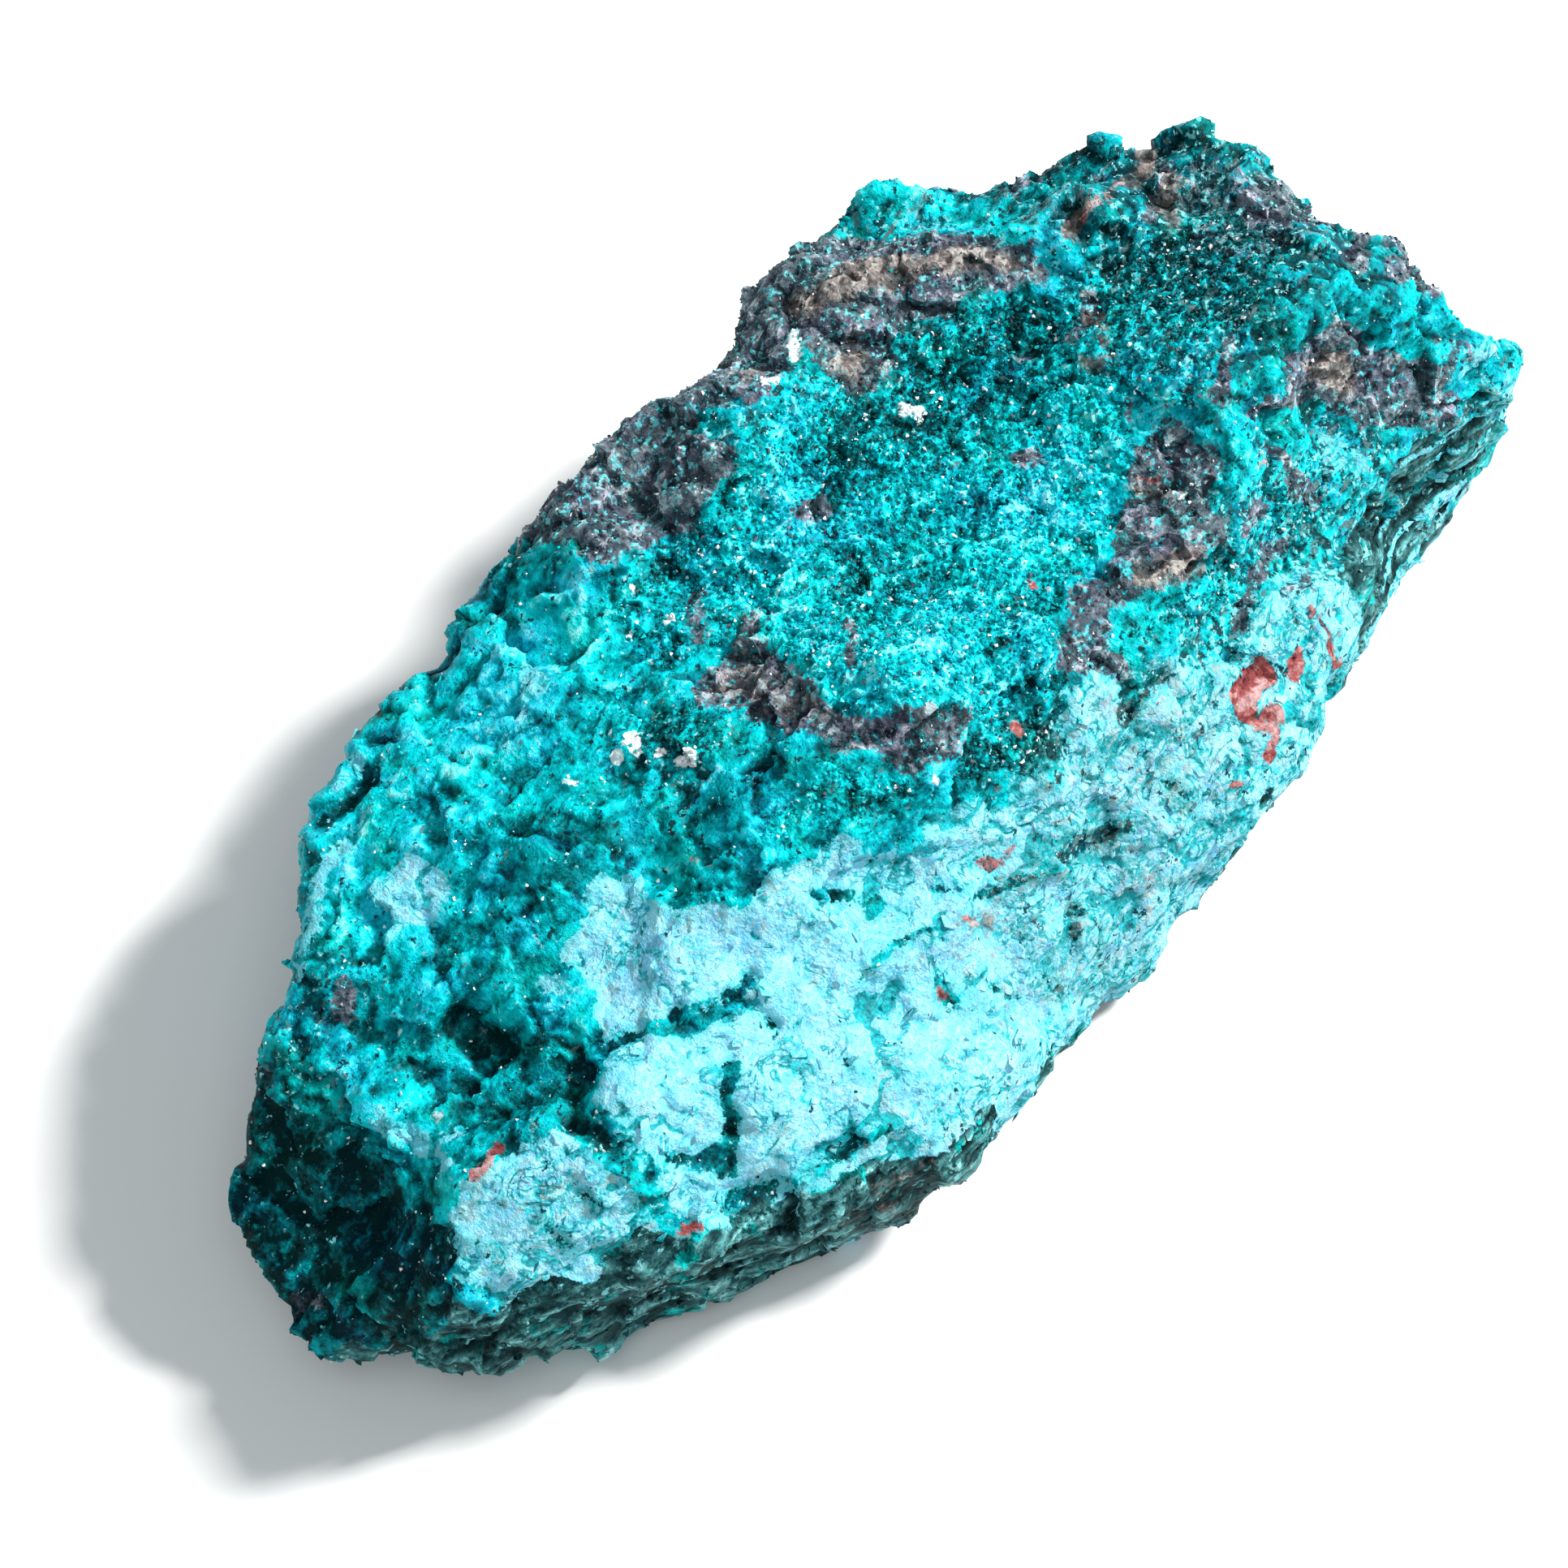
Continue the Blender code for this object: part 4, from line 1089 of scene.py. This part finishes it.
    def hollow_shading(self, mesh: bpy.types.Mesh, height: np.ndarray) -> np.ndarray:
        """How far each vertex lies below the skin about it, from -1 on a crest to 1 in a pit, for painted shade in
        pits and painted light on crests.

        Args:
            mesh: the rock's mesh.
            height: how far every vertex moves out.

        Returns:
            One value for each vertex.
        """
        ends = np.zeros(len(mesh.edges) * 2, np.int32)
        mesh.edges.foreach_get("vertices", ends)
        a, b = ends.reshape(-1, 2).T
        count = len(height)
        near = np.bincount(a, minlength=count) + np.bincount(b, minlength=count)
        level = height
        for _ in range(self.hollow_shade_reach):
            about = np.bincount(a, level[b], count) + np.bincount(b, level[a], count)
            level = (level + about / near) / 2
        return np.clip((level - height) / self.hollow_shade_depth, -1, 1)

    @staticmethod
    def store(mesh: bpy.types.Mesh, skin: Skin) -> None:
        """Keep the tones on the mesh and set how its faces shade."""
        for tone, values in skin.tones.items():
            layer = mesh.attributes.new(tone.value, "FLOAT", "POINT")
            layer.data.foreach_set("value", values.astype(np.float32))
        grainy = np.maximum(skin.tones[Tone.DRUSE], skin.tones[Tone.DARK])[skin.faces].mean(axis=1)
        mesh.polygons.foreach_set("use_smooth", grainy < 0.5)
        mesh.update()

    def dress(self, rock: bpy.types.Object, finish: bpy.types.Material) -> None:
        """Give the rock its finish and let it stand for the plain solid."""
        rock.data.materials.clear()
        rock.data.materials.append(finish)
        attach(rock, "root")
        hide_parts(ROCK_NODE)


# ---------------------------------------------------------------- crystals


@dataclass
class CrystalCrop:
    """One crop of small crystals, or of crumbs of the stone itself, that lies where a finish shows."""

    name: str
    tone: Tone
    per_mm2: float
    least: float
    most: float
    seed: int
    spread: float = 0.16
    dark_share: float = 0.12
    clear_glint_share: float = 0.10
    threshold: float = 0.35
    sunk: float = 0.35
    flat: float = 1.0
    lean: float = 3.0
    of_stone: bool = False
    lowest: float = 0.5
    shapes: int = 10
    corners: int = 9

    def templates(self, random: np.random.Generator) -> list[tuple[np.ndarray, np.ndarray]]:
        """Make a few angular crystal shapes about 1 across.

        Args:
            random: the crop's own random numbers.

        Returns:
            Pairs of corners and triangles.
        """
        made = []
        for _ in range(self.shapes):
            shape = bmesh.new()
            for _ in range(self.corners):
                away = random.normal(size=3)
                away /= np.linalg.norm(away)
                shape.verts.new(Vector(away * random.uniform(0.8, 1.0)))
            hull = bmesh.ops.convex_hull(shape, input=shape.verts)
            bmesh.ops.delete(shape, geom=hull["geom_interior"], context="VERTS")
            bmesh.ops.recalc_face_normals(shape, faces=shape.faces)
            shape.verts.index_update()
            corners = np.array([v.co[:] for v in shape.verts])
            made.append((corners, np.array([[v.index for v in f.verts] for f in shape.faces])))
            shape.free()
        return made

    def build(self, skin: Skin) -> bpy.types.Object:
        """Grow the crop.

        Args:
            skin: the rock's arrays.

        Returns:
            One object with all the crop's crystals joined.
        """
        random = np.random.default_rng(self.seed)
        weight = skin.tones[self.tone][skin.faces].mean(axis=1)
        weight = np.clip((weight - self.threshold) / 0.4, 0, 1)
        a, b, c = (skin.points[skin.faces[:, k]] for k in range(3))
        area = np.linalg.norm(np.cross(b - a, c - a), axis=1) / 2
        chance = area * weight * (a[:, 2] > self.lowest)
        count = int(chance.sum() * self.per_mm2)
        at = random.choice(len(chance), size=count, p=chance / chance.sum())
        u, v = random.random((2, count))
        over = u + v > 1
        u[over], v[over] = 1 - u[over], 1 - v[over]
        spots = a[at] + (b[at] - a[at]) * u[:, None] + (c[at] - a[at]) * v[:, None]
        out = skin.normals[skin.faces[at, 0]]
        radius = self.least + (self.most - self.least) * random.random(count) ** 2
        middle = spots + out * (radius * self.flat * (1 - 2 * self.sunk))[:, None]
        tone = skin.teal[skin.faces[at, 0]] + random.normal(0, self.spread, count)
        pick = random.random(count) + 0.10 * (Grit.rough(spots, 2.6, self.seed) - 0.25)
        shapes = self.templates(random)
        kind = random.integers(0, len(shapes), count)
        turn = self.turns(random, out)
        stretch = random.uniform(0.75, 1.25, (count, 3)) * (1, 1, self.flat)
        corners, faces, which = [], [], []
        start = 0
        for n in range(count):
            local, tris = shapes[kind[n]]
            corners.append((local * stretch[n]) @ turn[n].T * radius[n] + middle[n])
            faces.append(tris + start)
            which.append(np.full(len(local), n))
            start += len(local)
        which = np.concatenate(which)
        placed = np.concatenate(corners)
        placed[:, 2] = np.maximum(placed[:, 2], 0)
        mesh = bpy.data.meshes.new(self.name)
        mesh.from_pydata((placed * MM).tolist(), [], np.concatenate(faces).tolist())
        if self.of_stone:
            layers = {t.value: values[skin.faces[at, 0]] for t, values in skin.tones.items()}
        else:
            layers = {
                "grain_tone": tone,
                "grain_dark": (pick < self.dark_share).astype(float),
                # painted highlight: the clear grains stand in for glints as well as for white crystals
                "grain_clear_glint": (pick > 1 - self.clear_glint_share).astype(float),
            }
        for name, values in layers.items():
            mesh.attributes.new(name, "FLOAT", "POINT").data.foreach_set("value", values[which].astype(np.float32))
        crop = bpy.data.objects.new(self.name, mesh)
        bpy.context.scene.collection.objects.link(crop)
        return crop

    def turns(self, random: np.random.Generator, out: np.ndarray) -> np.ndarray:
        """One matrix for each grain, which leans its own z away from the skin's normal.

        Args:
            random: the crop's own random numbers.
            out: the skin's normal at each grain, shape (n, 3).

        Returns:
            Matrices, shape (n, 3, 3).
        """
        up = out + random.normal(0, self.lean, out.shape)
        up /= np.linalg.norm(up, axis=1)[:, None]
        side = np.cross(up, random.normal(size=out.shape))
        side /= np.linalg.norm(side, axis=1)[:, None]
        return np.stack([side, np.cross(up, side), up], axis=2)

    def dress(self, crop: bpy.types.Object, finish: bpy.types.Material) -> None:
        """Give the crop its finish and let it move with the rock."""
        crop.data.materials.append(finish)
        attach(crop, "root")


# ---------------------------------------------------------------- studio


@dataclass
class Studio:
    """A plain pale floor, plain light and the camera."""

    azimuth: float = -49.84
    elevation: float = 62.79
    distance: float = 0.19135
    aim: tuple[float, float, float] = (-0.00571, -0.00053, 0.012)
    lens: float = 80.0
    floor_size: float = 3.0
    floor_colour: Colour = (0.90, 0.89, 0.885)
    key_from: tuple[float, float, float] = (0.68, -0.30, 0.67)
    key_distance: float = 0.7
    key_power: float = 8.2
    key_size: float = 0.10
    key_colour: Colour = (1.0, 0.985, 0.96)
    soft_from: tuple[float, float, float] = (-0.3, -0.2, 0.93)
    soft_distance: float = 0.9
    soft_power: float = 2.2
    soft_size: float = 0.7
    soft_colour: Colour = (0.95, 0.98, 1.0)
    sky: float = 0.33
    sky_colour: Colour = (0.84, 0.96, 1.0)

    def build(self) -> None:
        """Make the floor, the lights and the camera."""
        self.floor()
        self.lamp("key_lamp", self.key_from, self.key_distance, self.key_power, self.key_size, self.key_colour)
        self.lamp("soft_lamp", self.soft_from, self.soft_distance, self.soft_power, self.soft_size, self.soft_colour)
        world = bpy.data.worlds.new("studio_air")
        world.use_nodes = True
        air = world.node_tree.nodes["Background"]
        air.inputs[0].default_value = (*self.sky_colour, 1)
        air.inputs[1].default_value = self.sky
        bpy.context.scene.world = world
        bpy.context.scene.view_settings.view_transform = "Standard"
        self.camera()

    def floor(self) -> None:
        """Lay the floor."""
        shape = bmesh.new()
        bmesh.ops.create_grid(shape, x_segments=1, y_segments=1, size=self.floor_size / 2)
        mesh = bpy.data.meshes.new("studio_floor")
        shape.to_mesh(mesh)
        shape.free()
        floor = bpy.data.objects.new("studio_floor", mesh)
        bpy.context.scene.collection.objects.link(floor)
        b = NodeBoard("studio_floor")
        floor.data.materials.append(b.surface((*self.floor_colour, 1), 0.8))

    def lamp(self, name: str, towards: tuple[float, float, float], distance: float, power: float, size: float,
             colour: Colour) -> None:
        """Hang one square lamp that looks at the rock.

        Args:
            name: the lamp's name.
            towards: direction of the lamp from the rock.
            distance: metres from the rock.
            power: watts.
            size: side of the lamp.
            colour: colour of its light.
        """
        light = bpy.data.lights.new(name, "AREA")
        light.energy = power
        light.size = size
        light.color = colour
        lamp = bpy.data.objects.new(name, light)
        lamp.location = Vector(towards).normalized() * distance
        lamp.rotation_euler = Vector(towards).to_track_quat("Z", "Y").to_euler()
        bpy.context.scene.collection.objects.link(lamp)

    def camera(self) -> None:
        """Set the camera that looks down along the slab."""
        turn, tilt = math.radians(self.azimuth), math.radians(self.elevation)
        back = Vector((math.sin(turn) * math.cos(tilt), -math.cos(turn) * math.cos(tilt), math.sin(tilt)))
        lens = bpy.data.cameras.new("specimen_camera")
        lens.lens = self.lens
        lens.sensor_width = 36.0
        lens.clip_start = 0.01
        camera = bpy.data.objects.new("specimen_camera", lens)
        camera.location = Vector(self.aim) + back * self.distance
        camera.rotation_euler = back.to_track_quat("Z", "Y").to_euler()
        bpy.context.scene.collection.objects.link(camera)
        bpy.context.scene.camera = camera


def main() -> None:
    """Build the specimen and its studio, and report each piece."""
    logging.basicConfig(level=logging.INFO, format="%(message)s")
    body = RockBody()
    rock, skin = body.build()
    stone = StoneFinish().material()
    body.dress(rock, stone)
    LOG.info("%s: %d triangles", rock.name, len(skin.faces))
    crystal = CrystalFinish().material()
    # the clear share paints grains near white, for white crystals and as painted highlights for glints
    crops = (
        CrystalCrop("druse_crystals", Tone.DRUSE, 10.0, 0.09, 0.20, 201, spread=0.12, dark_share=0.03,
                    clear_glint_share=0.07),
        CrystalCrop("matrix_crystals", Tone.DARK, 3.0, 0.07, 0.16, 211, spread=0.1, dark_share=0.88),
        CrystalCrop("clear_crystals", Tone.WHITE, 9.0, 0.09, 0.21, 223, dark_share=0.0, clear_glint_share=0.9),
        CrystalCrop("teal_glints", Tone.OPEN, 0.7, 0.06, 0.15, 227, spread=0.12, dark_share=0.0, clear_glint_share=0.25),
        CrystalCrop("crust_flakes", Tone.PALE, 0.8, 0.30, 0.75, 229, sunk=0.62, flat=0.2, lean=0.16, of_stone=True),
        CrystalCrop("teal_crumbs", Tone.OPEN, 1.0, 0.12, 0.30, 233, sunk=0.64, flat=0.5, lean=0.5, of_stone=True),
        CrystalCrop("matrix_crumbs", Tone.DARK, 1.6, 0.12, 0.32, 239, sunk=0.6, flat=0.5, lean=0.5, of_stone=True),
        CrystalCrop("side_crumbs", Tone.BAND, 1.0, 0.18, 0.42, 241, sunk=0.6, flat=0.4, lean=0.4, of_stone=True),
    )
    for crop in crops:
        piece = crop.build(skin)
        crop.dress(piece, stone if crop.of_stone else crystal)
        LOG.info("%s: %d triangles", piece.name, len(piece.data.polygons))
    Studio().build()


if __name__ == "__main__":
    main()
